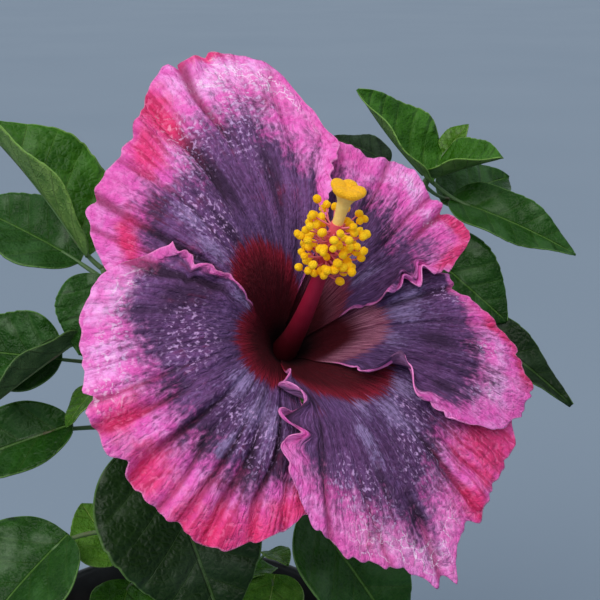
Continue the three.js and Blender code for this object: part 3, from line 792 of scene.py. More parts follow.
def grow(stem, radii, twigs, posed, space, sprigs, leaves, first, seed):
    """The twigs (curve, radii) and the leaves of one mass."""
    start = np.array(stem[0], float)
    tangent = np.array(stem[1], float) - start
    main = path(start + tangent / np.linalg.norm(tangent) * GAP, stem[1], stem[2])
    curves = [main] + [path(main(share), bend, tip) for share, bend, tip in twigs]
    for k in range(sprigs):
        foot = main(0.15 + 0.6 * k / sprigs)
        heading = first + 60 + k * GOLDEN_ANGLE
        bend = foot + direction(heading, 15) * 18
        tip = bend + direction(heading + 10, 40) * (16 + 8 * draw(seed * 53 + k * 7 + 1))
        if within(space, tip[None, :]):
            curves.append(path(foot, bend, tip))
    made = [
        leaf(curves[index], share, stalk, blade, roll, fold, arch, finish, POSED_GRID, seed * 31 + n)
        for n, (index, share, stalk, blade, roll, fold, arch, finish) in enumerate(posed)
    ]
    made += grown_leaves(main, leaves, first, seed, space)
    for k, sprig in enumerate(curves[1 + len(twigs):]):
        made += grown_leaves(sprig, 4, first + 40 * (k + 1), seed + 5 + k, space, 0.45)
    limbs = [(main, radii)] + [(curve, (radii[1], 1.3)) for curve in curves[1:]]
    for k, curve in enumerate(curves):
        fine, small = young_leaves(curve, 9 if k == 0 else 4, first + 31 * k, seed + k, space)
        limbs += fine
        made += small
    return limbs, made


def vein_pattern(made):
    """What both faces of a blade read: the place across and along it, the distance from its rib, and
    how near the next side vein is."""
    side, along = made.map("Blade")
    out = abs(side - 0.5)
    rise = along - out * 0.85 + out * out * 0.5
    half = side.between(0.4999, 0.5001) * 0.5
    return side, along, out, abs((rise * VEINS + half).fraction() - 0.5)


def leaf_finish(name, deep, pale, vein, edge, gloss):
    """A waxy blade: pale branching veins sunk in a quilted surface, and a thin pale margin."""
    made = Finish(name, Specular_IOR_Level=0.14, Coat_Roughness=0.26)
    side, along, out, branch = vein_pattern(made)
    edgewise, number = made.map("Leaf")
    veins = branch.between(0.478, 0.5) * out.between(0.34, 0.10)
    rib = out.between(0.013, 0.004) * along.between(0.99, 0.9)
    fine = made.vector(side, along, number)
    net = made.net(fine, BLADE_NET)
    mesh, pillow = net.between(0.10, 0.0), net.between(0.0, 0.35)
    cloud = made.grain(made.vector(side, along, number * 9.0), 5.0, 4.0)
    shade = made.mix(cloud.between(0.32, 0.68), deep, pale)
    shade = made.mix(number.between(0.15, 0.9) * 0.35, shade, pale)
    shade = made.mix(branch.between(0.40, 0.5) * cloud.between(0.3, 0.7) * 0.14, shade, vein)
    shade = made.mix(mesh * 0.10, shade, vein)
    shade = made.mix((veins * 0.45).most(rib * 0.7), shade, vein)
    shade = made.mix(edgewise.between(0.965, 0.992) * 0.55, shade, edge)
    made.wear(
        Base_Color=shade,
        Roughness=gloss + cloud * 0.16,
        Coat_Weight=cloud.between(0.45, 0.62) * 0.26,
    )
    quilt = branch.between(0.5, 0.25) * cloud.between(0.25, 0.7)
    blister = made.grain(fine, 13.0, 2.0)
    made.relief(quilt * 0.9 - rib * 0.8 - veins * 0.5 + blister * 1.7 + pillow * 0.16, 0.0013, 0.8)
    return made


def underside_finish(name, plain, vein):
    """The matt paler back of a blade, where the veins stand out."""
    made = Finish(name, Specular_IOR_Level=0.35, Roughness=0.6)
    side, along, out, branch = vein_pattern(made)
    veins = branch.between(0.455, 0.5).most(out.between(0.016, 0.005))
    cloud = made.grain(made.place(), 130.0, 4.0)
    mesh = made.net(made.vector(side, along), BLADE_NET).between(0.14, 0.0)
    made.wear(Base_Color=made.mix(veins.most(mesh * 0.5) * 0.75,
                                  made.mix(cloud.between(0.3, 0.7), plain, vein), vein))
    made.relief(veins + mesh * 0.4 + cloud * 0.3, 0.0008)
    return made


# Painted shade and painted light: the first three are one glossy green painted darker for leaves in shade and
# paler for leaves in light; the last is the young leaves' own paler green.
leaf_finishes = [
    leaf_finish(name, *[tone(*colour) for colour in colours], gloss)
    for name, gloss, *colours in (
        ("leaf_painted_shade", 0.34, (12, 30, 7), (23, 48, 13), (64, 92, 44), (98, 132, 70)),
        ("leaf_painted_half_shade", 0.34, (18, 52, 8), (34, 78, 16), (80, 118, 48), (110, 150, 78)),
        ("leaf_painted_light", 0.34, (30, 74, 5), (54, 106, 16), (108, 150, 56), (134, 172, 86)),
        ("leaf_young", 0.36, (50, 96, 16), (82, 128, 32), (140, 172, 80), (150, 180, 96)),
    )
]
# Their backs, painted in the same shade, half shade and light, then the young leaves' back.
leaf_finishes += [
    underside_finish(name, tone(*plain), tone(*vein))
    for name, plain, vein in (
        ("underside_painted_shade", (40, 72, 30), (86, 116, 64)),
        ("underside_painted_half_shade", (50, 92, 30), (98, 134, 66)),
        ("underside_painted_light", (66, 110, 26), (118, 152, 68)),
        ("underside_young", (86, 126, 42), (138, 168, 86)),
    )
]
shoot_skin = Finish("green_shoot", Specular_IOR_Level=0.45)
spot = shoot_skin.place()
blush = shoot_skin.grain(spot, 60.0, 3.0)
fleck = shoot_skin.grain(spot, 900.0, 3.0)
shoot_skin.wear(
    Base_Color=shoot_skin.mix(
        blush.between(0.45, 0.7), shoot_skin.mix(fleck, tone(58, 92, 44), tone(92, 124, 70)), tone(92, 80, 56)
    ),
    Roughness=0.42 + fleck * 0.2,
)
shoot_skin.relief(fleck, 0.0002)

for mass_name, shape in MASSES.items():
    limbs, leaves = grow(**shape)
    blades, stalks = Heap(), Heap()
    for curve, (wide, thin) in limbs:
        shares = np.linspace(0, 1, 22)
        swell = 1 + 0.10 * np.abs(np.sin(shares * 9.0)) ** 8
        points, faces = tube(curve(shares), (wide + (thin - wide) * shares) * swell, 10)
        stalks.add(points * MM, faces)
    for one in leaves:
        u, v, faces = sheets[one["size"]]
        tilt = np.full(len(u), draw(one["number"] + 7))
        blades.add(
            one["surface"](u, v) * MM,
            faces,
            one["finish"],
            Blade=np.stack([0.5 + one["lateral"](u, v), v], 1),
            Leaf=np.stack([np.abs(u), tilt], 1),
        )
        shares = np.linspace(0, 1, 9)
        neck = path(one["foot"], one["base"], one["plain"](0, 0.16))
        taper = one["length"] / 70
        thick = PETIOLE_RADII[0] + (PETIOLE_RADII[1] - PETIOLE_RADII[0]) * shares
        thick = thick * min(1, 0.45 + 0.55 * taper)
        points, faces = tube(neck(shares), thick, 8)
        stalks.add(points * MM, faces)
        along = np.linspace(0.10, 0.93, 12)
        rib = one["surface"](np.zeros(12), along)
        below = np.cross(np.gradient(rib, axis=0), one["surface"](np.full(12, 0.02), along) - rib)
        below /= np.linalg.norm(below, axis=1)[:, None] + 1e-9
        points, faces = tube(rib + below * 0.35, 0.75 * taper * (1.06 - along), 6)
        stalks.add(points * MM, faces)
    foliage = blades.piece(mass_name + "_blades", leaf_finishes)
    plate = foliage.modifiers.new("blade_thickness", "SOLIDIFY")
    plate.thickness, plate.offset, plate.material_offset = LEAF_THICKNESS * MM, 0.0, UNDERSIDES
    bpy.ops.object.modifier_apply(modifier=plate.name)
    shoots = stalks.piece(mass_name + "_shoots", [shoot_skin])
    for piece in (foliage, shoots):
        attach(piece, "root")
    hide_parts(mass_name)
    print(mass_name, len(leaves), "leaves", sum(len(f.vertices) - 2 for f in foliage.data.polygons),
          "triangles")


# ---- Bloom: calyx --------------------------------------------------------------------------------
# The flower's green holder: a stalk, a cup whose five pointed teeth lie behind the petals, and a
# ring of seven narrow bracts below it.
FLOWER_BASE = np.array([51.0, -70.0, 311.0])
AXIS = direction(-72.5, 33)
ACROSS = direction(17.5, 0)
UPWARD = np.cross(AXIS, ACROSS)
STALK = ((34.1, -34.25, 276.5), (36, -39.3, 286))
CALYX_TEETH, BRACTS, TOOTH_GRID = 5, 7, (8, 16)


def flower_point(along, out=0.0, azimuth=0.0):
    """A point `along` up the flower's axis and `out` from it, at an azimuth in degrees."""
    turn = np.radians(azimuth)
    along, out = np.asarray(along, float)[..., None], np.asarray(out, float)[..., None]
    ray = np.cos(turn)[..., None] * ACROSS + np.sin(turn)[..., None] * UPWARD
    return FLOWER_BASE + along * AXIS + out * ray


holder = Heap()
shares = np.linspace(0, 1, 18)
points, faces = tube(path(*STALK, flower_point(-15))(shares),
                     2.1 + 0.5 * shares + 0.9 * smooth(0.8, 1, shares), 14)
holder.add(points * MM, faces)
points, faces = tube(flower_point(-17 + 14.8 * shares), 3 + 5 * np.sqrt(shares) * (1 - 0.04 * shares), 30)
holder.add(points * MM, faces)
for part in range(CALYX_TEETH):
    azimuth = 95 + 360 / CALYX_TEETH * part
    curve = path(flower_point(-7, 5.2, azimuth), flower_point(4, 11.2, azimuth),
                 flower_point(13, 17.5, azimuth))
    u, v, faces = grid(*TOOTH_GRID)
    middle, around = curve(v), np.radians(azimuth + 90)
    side = np.cos(around) * ACROSS + np.sin(around) * UPWARD
    wide = 4.4 * (1 - v) ** 0.7 * (0.8 + 0.2 * np.sin(math.pi * v)) + 0.2
    inward = -(np.cos(np.radians(azimuth)) * ACROSS + np.sin(np.radians(azimuth)) * UPWARD) * 0.9
    points = middle + (u * wide)[:, None] * side + (0.16 * wide * u * u)[:, None] * inward
    points = np.concatenate([points, points - inward * 1.0])
    (across, up), size = TOOTH_GRID, len(u)
    row = across + 1
    rim = list(range(across)) + [across + row * j for j in range(up)]
    rim += [size - 1 - i for i in range(across)] + [row * (up - j) for j in range(up)]
    faces = faces + [[i + size for i in face[::-1]] for face in faces]
    faces += [[b, a, a + size, b + size] for a, b in zip(rim, rim[1:] + rim[:1])]
    holder.add(points * MM, faces)
for part in range(BRACTS):
    azimuth = 70 + 360 / BRACTS * part
    curve = path(flower_point(-14.5, 3.4, azimuth), flower_point(-9, 12, azimuth),
                 flower_point(-3, 14.5, azimuth))
    points, faces = tube(curve(shares), 1.05 * (1 - shares) ** 0.6 + 0.12, 6)
    holder.add(points * MM, faces)
calyx = holder.piece("calyx_and_stalk", [], 60)
calyx_skin = Finish("calyx_green", Specular_IOR_Level=0.4)
spot = calyx_skin.place()
rub = calyx_skin.grain(spot, 160.0, 4.0)
calyx_skin.wear(Base_Color=calyx_skin.mix(rub, tone(56, 88, 34), tone(100, 126, 58)),
                Roughness=0.5 + rub * 0.2)
calyx_skin.relief(calyx_skin.grain(spot, 700.0, 3.0), 0.0003)
calyx.data.materials.append(calyx_skin.material)
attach(calyx, "root")
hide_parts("calyx")


# ---- Bloom: petals -------------------------------------------------------------------------------
# Five broad crinkled petals, each with its clockwise edge in front of its neighbour. Wine red in the
# throat, purple with lilac flecks over the limb, and rose to crimson at the frilled margins.
ROOT_SPREAD, THROAT_SPREAD, THROAT_RADIUS = 38.5, 44, 4.4
THROAT_LIFT, LIMB_LIFT = 0.6, 2.1
PETAL_THICKNESS = 0.5
PETAL_LENGTHS = (0, 20, 35, 50, 65, 80, 105, 135)
PETAL_ANGLES = (20, 30, 45, 68, 86, 96, 106, 116)
PETAL_GRID = (160, 124)
SECTION_END, SECTION_STEP = 175, 0.25

# Azimuth in the throat and at the limb and half spread to either side, in degrees, and how ragged the
# rim is. In mm from the clockwise edge to the other: reach, length of the wine-red eye and width of the
# rose margin, then that margin along both sides. Patches are (u, v, size across, size along): flush
# is crimson, then pale flecks, pale threads, a painted lilac highlight and painted shade. Frills add a
# rise in mm. Lobes are (u, size, mm) on the rim, scallops (mm along, size, degrees) on the clockwise
# edge, and creases (u, size, from v, mm deep), whose valleys are also darkened as painted shade.
PETALS = {
    "petal_upper_left": dict(
        base=131, limb=122, cw=50, ccw=50, seed=3, ragged=0.9,
        reach=(86, 128, 147, 141, 121, 115, 110, 96, 86),
        eye=(32, 47, 57, 48, 38), rose=(16, 40, 39, 38, 29, 22, 24, 32, 40), sides=(10, 12), greyness=0,
        lobes=[(-0.335, 0.012, -5), (-0.40, 0.04, -6), (-0.46, 0.02, -4), (-0.60, 0.10, 3.5),
               (0.04, 0.04, -2)],
        scallops=[(92, 5, -3)],
        creases=[(-0.13, 0.045, 0.5, 3.0), (-0.33, 0.03, 0.6, 2.2), (0.16, 0.03, 0.4, 1.4),
                 (0.42, 0.04, 0.45, 2.2), (0.56, 0.03, 0.5, 1.6), (-0.7, 0.03, 0.6, 1.2)],
        frills=[(-0.40, 0.98, 0.035, 0.04, 3.5), (0.0, 0.95, 0.06, 0.08, 3)],
        flush=[(-0.12, 0.93, 0.13, 0.13), (0.05, 0.9, 0.12, 0.1), (-0.45, 0.99, 0.12, 0.03),
               (0.55, 0.85, 0.16, 0.05)],
        flecked=[(0.04, 0.60, 0.18, 0.14), (-0.48, 0.74, 0.20, 0.16), (-0.55, 0.93, 0.2, 0.08),
                 (-0.1, 0.75, 0.2, 0.14)],
        threads=[(-0.5, 0.9, 0.3, 0.06)],
        sheen=[(0.2, 0.66, 0.08, 0.10), (0.28, 0.54, 0.08, 0.1)],
        shade=[(-0.18, 0.58, 0.05, 0.16), (-0.1, 0.76, 0.06, 0.1), (0.3, 0.78, 0.12, 0.06),
               (0.04, 0.5, 0.06, 0.12), (-0.54, 0.5, 0.08, 0.16), (-0.6, 0.76, 0.05, 0.08)],
    ),
    "petal_left": dict(
        base=203, limb=210, cw=64, ccw=52, seed=11, ragged=0.9,
        reach=(76, 97, 104, 107, 108, 110, 112, 102, 90),
        eye=(38, 44, 45, 43, 34), rose=(5, 13, 19, 25, 27, 25, 26, 21, 14), sides=(2, 4), greyness=0,
        lobes=[(-0.27, 0.02, -3), (-0.2, 0.03, 1.5), (0.02, 0.02, -2.5), (0.36, 0.03, -2)],
        scallops=[(65.5, 1.4, 2.5), (51, 3, -3)],
        creases=[(0.07, 0.03, 0.5, 3.4), (-0.14, 0.03, 0.62, 2.8), (-0.26, 0.025, 0.5, 1.6),
                 (0.22, 0.025, 0.6, 1.8), (0.36, 0.03, 0.55, 2.6), (0.49, 0.04, 0.5, 3.6),
                 (0.67, 0.03, 0.42, 2.6), (0.82, 0.03, 0.7, 1.8), (-0.86, 0.05, 0.5, 2.4)],
        frills=[(-1.0, 0.56, 0.10, 0.06, 2), (-0.2, 0.98, 0.08, 0.06, 3), (0.1, 0.97, 0.08, 0.06, -3)],
        flush=[(0.55, 0.96, 0.5, 0.13), (0.12, 0.94, 0.2, 0.12), (-0.15, 0.9, 0.1, 0.12),
               (0.9, 0.93, 0.3, 0.12)],
        flecked=[(0.3, 0.56, 0.34, 0.15), (-0.45, 0.6, 0.28, 0.16), (-0.45, 0.9, 0.36, 0.12),
                 (0.6, 0.6, 0.12, 0.18)],
        threads=[(-0.7, 0.88, 0.14, 0.08)],
        sheen=[(0.12, 0.46, 0.2, 0.1), (0.4, 0.5, 0.18, 0.11), (0.6, 0.55, 0.14, 0.13),
               (0.33, 0.68, 0.06, 0.08), (-0.96, 0.5, 0.1, 0.12)],
        shade=[(-0.74, 0.66, 0.16, 0.12), (-0.16, 0.71, 0.05, 0.09), (0.19, 0.72, 0.1, 0.1),
               (0.54, 0.72, 0.1, 0.08), (0.76, 0.7, 0.12, 0.12), (0.4, 0.78, 0.07, 0.05)],
    ),
    "petal_lower": dict(
        base=275, limb=291, cw=37, ccw=48, seed=23, ragged=1.0,
        reach=(80, 95, 108, 115, 125, 116, 113, 112, 98),
        eye=(32, 42, 51, 57, 50), rose=(16, 19, 25, 24, 24, 23, 26, 22, 15), sides=(7, 4), greyness=0,
        lobes=[(-0.06, 0.035, 6), (0.04, 0.025, 7), (0.31, 0.03, 3), (-0.2, 0.03, -1.5),
               (0.15, 0.04, -2)],
        scallops=[(42, 4, -13), (48.5, 2.6, 8), (56.5, 4, -13), (61.5, 2, 5), (67, 4, -7), (74, 3, -2)],
        creases=[(-0.64, 0.05, 0.42, 1.6), (-0.3, 0.03, 0.6, 1.4), (0.0, 0.03, 0.65, 1.6),
                 (0.33, 0.03, 0.6, 2.4), (0.47, 0.03, 0.7, 1.8)],
        frills=[(-1.1, 0.43, 0.18, 0.03, 5), (-1.1, 0.50, 0.16, 0.025, -4), (-1.1, 0.57, 0.18, 0.035, 5),
                (-1.0, 0.64, 0.14, 0.03, -3), (-1.0, 0.70, 0.16, 0.035, 3), (0.35, 0.97, 0.06, 0.08, 4)],
        flush=[(0.62, 0.9, 0.30, 0.17), (0.33, 0.97, 0.07, 0.1)],
        flecked=[(0.22, 0.66, 0.3, 0.18), (-0.35, 0.74, 0.3, 0.12), (0.45, 0.6, 0.2, 0.14)],
        threads=[(-0.15, 0.91, 0.35, 0.07)],
        sheen=[(0.25, 0.4, 0.3, 0.08), (0.3, 0.54, 0.16, 0.12), (0.59, 0.5, 0.16, 0.12),
               (-0.13, 0.54, 0.1, 0.1)],
        shade=[(-0.9, 0.62, 0.12, 0.08), (-0.16, 0.7, 0.05, 0.1), (0.4, 0.74, 0.12, 0.08),
               (-0.02, 0.78, 0.1, 0.06), (-0.62, 0.44, 0.1, 0.06)],
    ),
    "petal_right": dict(
        base=347, limb=350, cw=33, ccw=46, seed=31, ragged=0.9,
        reach=(84, 101, 110, 111, 105, 88, 79, 75, 72),
        eye=(34, 42, 50, 47, 38), rose=(12, 17, 21, 22, 18, 7, 2.5, 2, 2), sides=(5, 1), greyness=1,
        lobes=[(-0.08, 0.02, -2.5), (-0.28, 0.04, 1.5), (0.1, 0.03, -1.5)],
        scallops=[(38, 4, -4), (47, 4, -11), (55, 3.4, 17), (60, 2.5, 6), (66, 3, -3)],
        creases=[(0.1, 0.04, 0.5, 1.2), (0.45, 0.05, 0.5, 1.6), (-0.3, 0.04, 0.6, 1.0)],
        frills=[(-0.9, 0.55, 0.24, 0.05, 7), (-1.0, 0.63, 0.2, 0.03, -2), (-1.0, 0.78, 0.2, 0.04, 2)],
        flush=[(0.06, 0.99, 0.2, 0.06), (-0.15, 1.0, 0.16, 0.05)],
        flecked=[(0.4, 0.9, 0.12, 0.06), (-0.1, 0.84, 0.1, 0.08), (-0.5, 0.8, 0.14, 0.07)],
        threads=[(-0.4, 0.85, 0.2, 0.06)],
        sheen=[(0.3, 0.6, 0.2, 0.15), (0.46, 0.72, 0.17, 0.12), (-0.1, 0.45, 0.24, 0.06)],
        shade=[(-0.1, 0.63, 0.14, 0.1), (-0.64, 0.7, 0.12, 0.08), (-0.1, 0.78, 0.1, 0.06)],
    ),
    "petal_upper_right": dict(
        base=59, limb=50, cw=36, ccw=42, seed=47, ragged=0.4,
        reach=(78, 96, 97, 96, 101, 95, 98, 96, 84),
        eye=(33, 41, 45, 42, 36), rose=(22, 25, 26, 24, 20, 18, 18, 16, 14), sides=(2, 3), greyness=0.35,
        lobes=[(-0.62, 0.08, 3), (-0.45, 0.03, -3)],
        scallops=[(46, 7, -4), (59.5, 2.0, 4), (63, 1.8, -3), (67.5, 2.0, 4)],
        creases=[(-0.5, 0.04, 0.7, 2.2), (-0.3, 0.04, 0.55, 1.4), (0.1, 0.04, 0.5, 1.4)],
        frills=[(-1.0, 0.45, 0.2, 0.04, 2), (-1.0, 0.52, 0.2, 0.04, -2), (-0.95, 0.65, 0.16, 0.025, 5),
                (-0.95, 0.73, 0.16, 0.025, 3), (-0.62, 0.98, 0.12, 0.08, -4)],
        flush=[(-0.66, 0.98, 0.24, 0.07), (-0.88, 0.95, 0.14, 0.12)],
        flecked=[(-0.1, 0.93, 0.2, 0.05), (-0.45, 0.9, 0.12, 0.05)],
        threads=[(-0.1, 0.95, 0.2, 0.04)],
        sheen=[(-0.48, 0.48, 0.14, 0.07), (-0.05, 0.5, 0.14, 0.06)],
        shade=[(-0.22, 0.68, 0.1, 0.1), (0.11, 0.75, 0.12, 0.08)],
    ),
}

# The flower's section: distance from the axis, distance along it and slope, by length along a petal.
lengths = np.arange(0, SECTION_END, SECTION_STEP)
slopes = np.radians(np.interp(lengths, PETAL_LENGTHS, PETAL_ANGLES))
outward = THROAT_RADIUS + np.concatenate([[0], np.cumsum(np.sin(slopes[:-1]) * SECTION_STEP)])
forward = np.concatenate([[0], np.cumsum(np.cos(slopes[:-1]) * SECTION_STEP)])


def eased(values, x):
    """A smooth curve through equally spaced values, x in 0..1."""
    values = np.asarray(values, float)
    last = len(values) - 1
    f = np.clip(x, 0, 1) * last
    i = np.minimum(f.astype(int), last - 1)
    t = f - i
    a, b, c, d = (values[np.clip(i + k, 0, last)] for k in (-1, 0, 1, 2))
    return b + 0.5 * t * (c - a + t * (2 * a - 5 * b + 4 * c - d + t * (3 * (b - c) + d - a)))


def ripple(values, seed, count):
    """A repeatable smooth wave along `values`, about -1 to 1, with `count` bends from 0 to 1."""
    return eased([2 * draw(seed + 3.7 * k) - 1 for k in range(count + 1)], values)


def hump(distance, size):
    return np.exp(-((distance / size) ** 2))


def patches(u, v, spots):
    """1 in the middle of each patch, and less away from it."""
    return np.max([hump(u - spot[0], spot[2]) * hump(v - spot[1], spot[3]) for spot in spots], axis=0)


def petal_surface(shape, u, v):
    """A petal's points in mm, and the maps that its finish reads."""
    turn, seed = (u + 1) / 2, shape["seed"]
    full = eased(shape["reach"], turn) + sum(mm * hump(u - at, size) for at, size, mm in shape["lobes"])
    full = full + shape["ragged"] * (1.3 * ripple(turn, seed + 1, 34) + 0.9 * ripple(turn, seed + 2, 75))
    s = 2 + v * (full - 2)
    cw, ccw = shape["cw"], shape["ccw"]
    spread = (cw + ccw) / 2 * u + (ccw - cw) / 2 * u * u
    for at, size, degrees in shape["scallops"]:
        spread = spread + degrees * hump(s - at, size) * smooth(-0.62, -1.0, u)
    spread = spread + 1.3 * ripple(v, seed + 3, 40) * smooth(0.85, 1.0, np.abs(u)) * smooth(0.35, 0.5, v)
    throat = (ROOT_SPREAD + (THROAT_SPREAD - ROOT_SPREAD) * smooth(6, 22, s)) * u
    azimuth = shape["base"] + (shape["limb"] - shape["base"]) * smooth(10, 60, s)
    azimuth = azimuth + throat + (spread - throat) * smooth(12, 55, s)
    rho, zeta, slope = (np.interp(s, lengths, curve) for curve in (outward, forward, slopes))
    side = (1 - np.abs(u)) * np.radians((cw + ccw) / 2) * rho
    margin = np.minimum(side, full - s)
    lift = -u * (THROAT_LIFT * smooth(0, 8, s) + LIMB_LIFT * smooth(18, 50, s))
    # Broad swells over the limb, furrows along the veins, creases, and frills at the margin. The edge
    # that lies under its neighbour stays flat.
    free = 1 - 0.75 * smooth(0.45, 0.8, u)
    lift = lift - 1.2 * smooth(0.5, 0.9, u) * smooth(25, 60, s)
    lift = lift + 1.6 * free * ripple(turn, seed + 5, 5) * smooth(35, 75, s)
    lift = lift + 0.8 * free * ripple(turn + 0.02 * ripple(v, seed + 4, 7), seed + 6, 24) * smooth(20, 60, s)
    lift = lift + 0.4 * free * ripple(turn + 0.01 * ripple(v, seed + 4, 11), seed + 7, 60) * smooth(25, 60, s)
    lift = lift + 0.7 * free * ripple(v, seed + 10, 18) * ripple(turn, seed + 11, 16) * smooth(40, 75, s)
    lift = lift + 0.35 * free * ripple(v, seed + 12, 44) * ripple(turn, seed + 13, 40) * smooth(35, 60, s)
    near = smooth(13, 0, margin) * free
    lift = lift + 1.7 * near * shape["ragged"] * ripple(turn, seed + 8, 19) * smooth(0.5, 0.9, v)
    lift = lift + 1.4 * near * ripple(v, seed + 9, 15) * smooth(0.82, 1.0, np.abs(u)) * smooth(0.35, 0.55, v)
    crease = np.zeros(len(u))
    for at, size, start, deep in shape["creases"]:
        bent = u - at - 0.03 * ripple(v, seed + at * 50, 6)
        valley = hump(bent, size) * smooth(start - 0.15, start + 0.2, v)
        lift = lift - deep * valley
        crease = np.maximum(crease, valley * min(1, deep / 2.4))
    for at, along, wide, long, rise in shape["frills"]:
        lift = lift + rise * hump(u - at, wide) * hump(v - along, long)
    points = flower_point(zeta + lift * np.sin(slope), rho - lift * np.cos(slope), azimuth)
    cw_side, ccw_side = shape["sides"]
    side_rose = 0.8 + np.where(u < 0, cw_side, ccw_side) * smooth(0.58, 0.78, v)
    zone = np.minimum((full - s) / eased(shape["rose"], turn), side / side_rose)
    return points, dict(
        Petal=np.stack([turn + seed, s / 150], 1),
        Edge=np.stack([margin / 30, patches(u, v, shape["flush"])], 1),
        Zone=np.stack([(eased(shape["eye"], turn) - s) / 30, np.minimum(zone, 3)], 1),
        Veil=np.stack([patches(u, v, shape["flecked"]), crease], 1),
        Wash=np.stack([shape["greyness"] * smooth(16, 30, s), patches(u, v, shape["threads"])], 1),
        # The last map holds the painted lilac highlight and the painted shade.
        PaintedSheenAndShade=np.stack([patches(u, v, shape["sheen"]), patches(u, v, shape["shade"])], 1),
    )


def petal_finish(name, back):
    """Matt, crinkled and finely veined, with painted shade and painted highlight over the crinkles and
    painted shade in the creases. Map Petal holds place across and along, Edge the margin and flush,
    Zone the eye and the rose margin, Veil flecks and creases, Wash the greyness of the eye and the pale
    threads, and the sixth map the painted lilac highlight and painted shade."""
    made = Finish(name, Specular_IOR_Level=0.2)
    u, s = made.map("Petal")
    margin, red = made.map("Edge")
    eye, zone = made.map("Zone")
    flecked, crease = made.map("Veil")
    greyness, threads = made.map("Wash")
    sheen, shade = made.map("PaintedSheenAndShade")
    spot = made.place()
    cloud = made.grain(spot, 38.0, 4.0)
    dapple = made.grain(spot, 150.0, 6.0)
    sweep = made.grain(made.vector(u * 24.0, s * 2.2), 1.0, 4.0)
    strand = made.grain(made.vector(u * 80.0 + cloud * 3.0, s * 5.0), 1.0, 3.0)
    hair = made.grain(made.vector(u * 220.0 + cloud * 4.0, s * 7.0), 1.0, 2.0)
    crepe = made.grain(made.vector(u * 90.0 + dapple * 2.5, s * 52.0 + cloud * 3.0), 1.0, 6.0)
    speck = made.grain(made.vector(u * 84.0 + dapple * 2.0, s * 72.0 + cloud * 4.0), 1.0, 5.0)
    clumps = flecked + (cloud - 0.5) * 1.8 + (crepe - 0.5) * 0.8
    flecks = speck.between(0.525, 0.65) * clumps.between(0.30, 0.85)

    plum = made.mix(cloud.between(0.38, 0.62), tone(84, 48, 91), tone(112, 68, 121))
    plum = made.mix(eye.between(-0.8, -0.05) * 0.4, plum, tone(96, 74, 124))
    plum = made.mix(hair.between(0.52, 0.68) * 0.3, plum, tone(146, 110, 162))
    # Painted highlight and painted shade over the crinkles, from the same crepe pattern that raises them.
    plum = made.mix(crepe.between(0.50, 0.36) * 0.35, plum, tone(136, 100, 156))
    plum = made.mix(crepe.between(0.50, 0.62) * 0.35, plum, tone(58, 37, 70))
    # Painted highlight: lilac light laid over the purple in the sheen patches and in fine specks.
    painted_highlight = sheen * 0.8 + (dapple - 0.5) * 1.0 + (hair - 0.5) * 0.6 + (speck - 0.5) * 1.6
    plum = made.mix(painted_highlight.between(0.2, 0.95) * 0.72, plum, tone(168, 144, 196))
    plum = made.mix(strand.between(0.50, 0.68) * 0.4, plum, tone(64, 38, 76))
    plum = made.mix(sweep.between(0.50, 0.72) * 0.7, plum, tone(56, 34, 64))
    # Painted shade in the creases: the purple and the rose are darkened along each crease's valley.
    fold = crease.between(0.15, 0.85)
    # Painted shade: the purple darkened in the shade patches and along streaks.
    painted_shade_patches = (shade + (cloud - 0.5) * 0.6 + (strand - 0.5) * 0.9).between(0.25, 0.95)
    plum = made.mix(painted_shade_patches * 0.8, plum, tone(52, 30, 58))
    plum = made.mix(fold * 0.9, plum, tone(44, 24, 46))
    plum = made.mix(flecks * 0.8, plum, tone(206, 164, 216))

    light = flecked.most(threads)
    blend = dapple.between(0.38, 0.62) * (light * 0.5 + 0.5)
    rose = made.mix(blend, tone(238, 100, 192), tone(254, 168, 236))
    rose = made.mix(cloud.between(0.44, 0.62) * 0.45, rose, tone(230, 84, 168))
    # Painted shade and painted highlight over the crinkles of the rose margin.
    rose = made.mix(crepe.between(0.50, 0.62) * 0.45, rose, tone(204, 74, 156))
    rose = made.mix(crepe.between(0.46, 0.36) * (light * 0.45 + 0.12), rose, tone(255, 192, 238))
    rose = made.mix(threads * 0.35, rose, tone(255, 190, 244))
    rose = made.mix(strand.between(0.50, 0.66) * 0.28, rose, tone(188, 60, 140))
    # Painted shade in the creases of the rose margin.
    rose = made.mix(fold * 0.8, rose, tone(140, 36, 80))
    web = made.net(made.vector(u * 24.0 + cloud * 5.0, s * 20.0 + dapple * 3.0), 1.0)
    thread = web.between(0.035, 0.008) * (threads + (cloud - 0.5) * 2.0).between(0.35, 0.8)
    rose = made.mix((thread * 0.85).most(flecks * 0.6), rose, tone(255, 222, 248))

    frontier = zone + (sweep - 0.5) * 0.8 + (dapple - 0.5) * 1.0 + (strand - 0.5) * 0.45 + (cloud - 0.5) * 0.8
    frontier = frontier + (speck - 0.5) * 0.9 + (crepe - 0.5) * 0.8
    body = made.mix(frontier.between(1.35, 0.40), plum, rose)
    scarlet = (red + (dapple - 0.5) * 0.8 + (strand - 0.5) * 0.8 + (cloud - 0.5) * 0.8).between(0.1, 1.0)
    blood = made.mix(strand.between(0.4, 0.66), tone(238, 54, 118), tone(188, 30, 82))
    # Painted highlight over the crinkles of the crimson.
    blood = made.mix(crepe.between(0.48, 0.36) * 0.5, blood, tone(250, 108, 160))
    body = made.mix(scarlet * 0.9, body, made.mix(flecks * 0.6, blood, tone(254, 176, 208)))
    body = made.mix((margin + (dapple - 0.5) * 0.08).between(0.02, 0.0) * 0.4, body, tone(248, 168, 210))

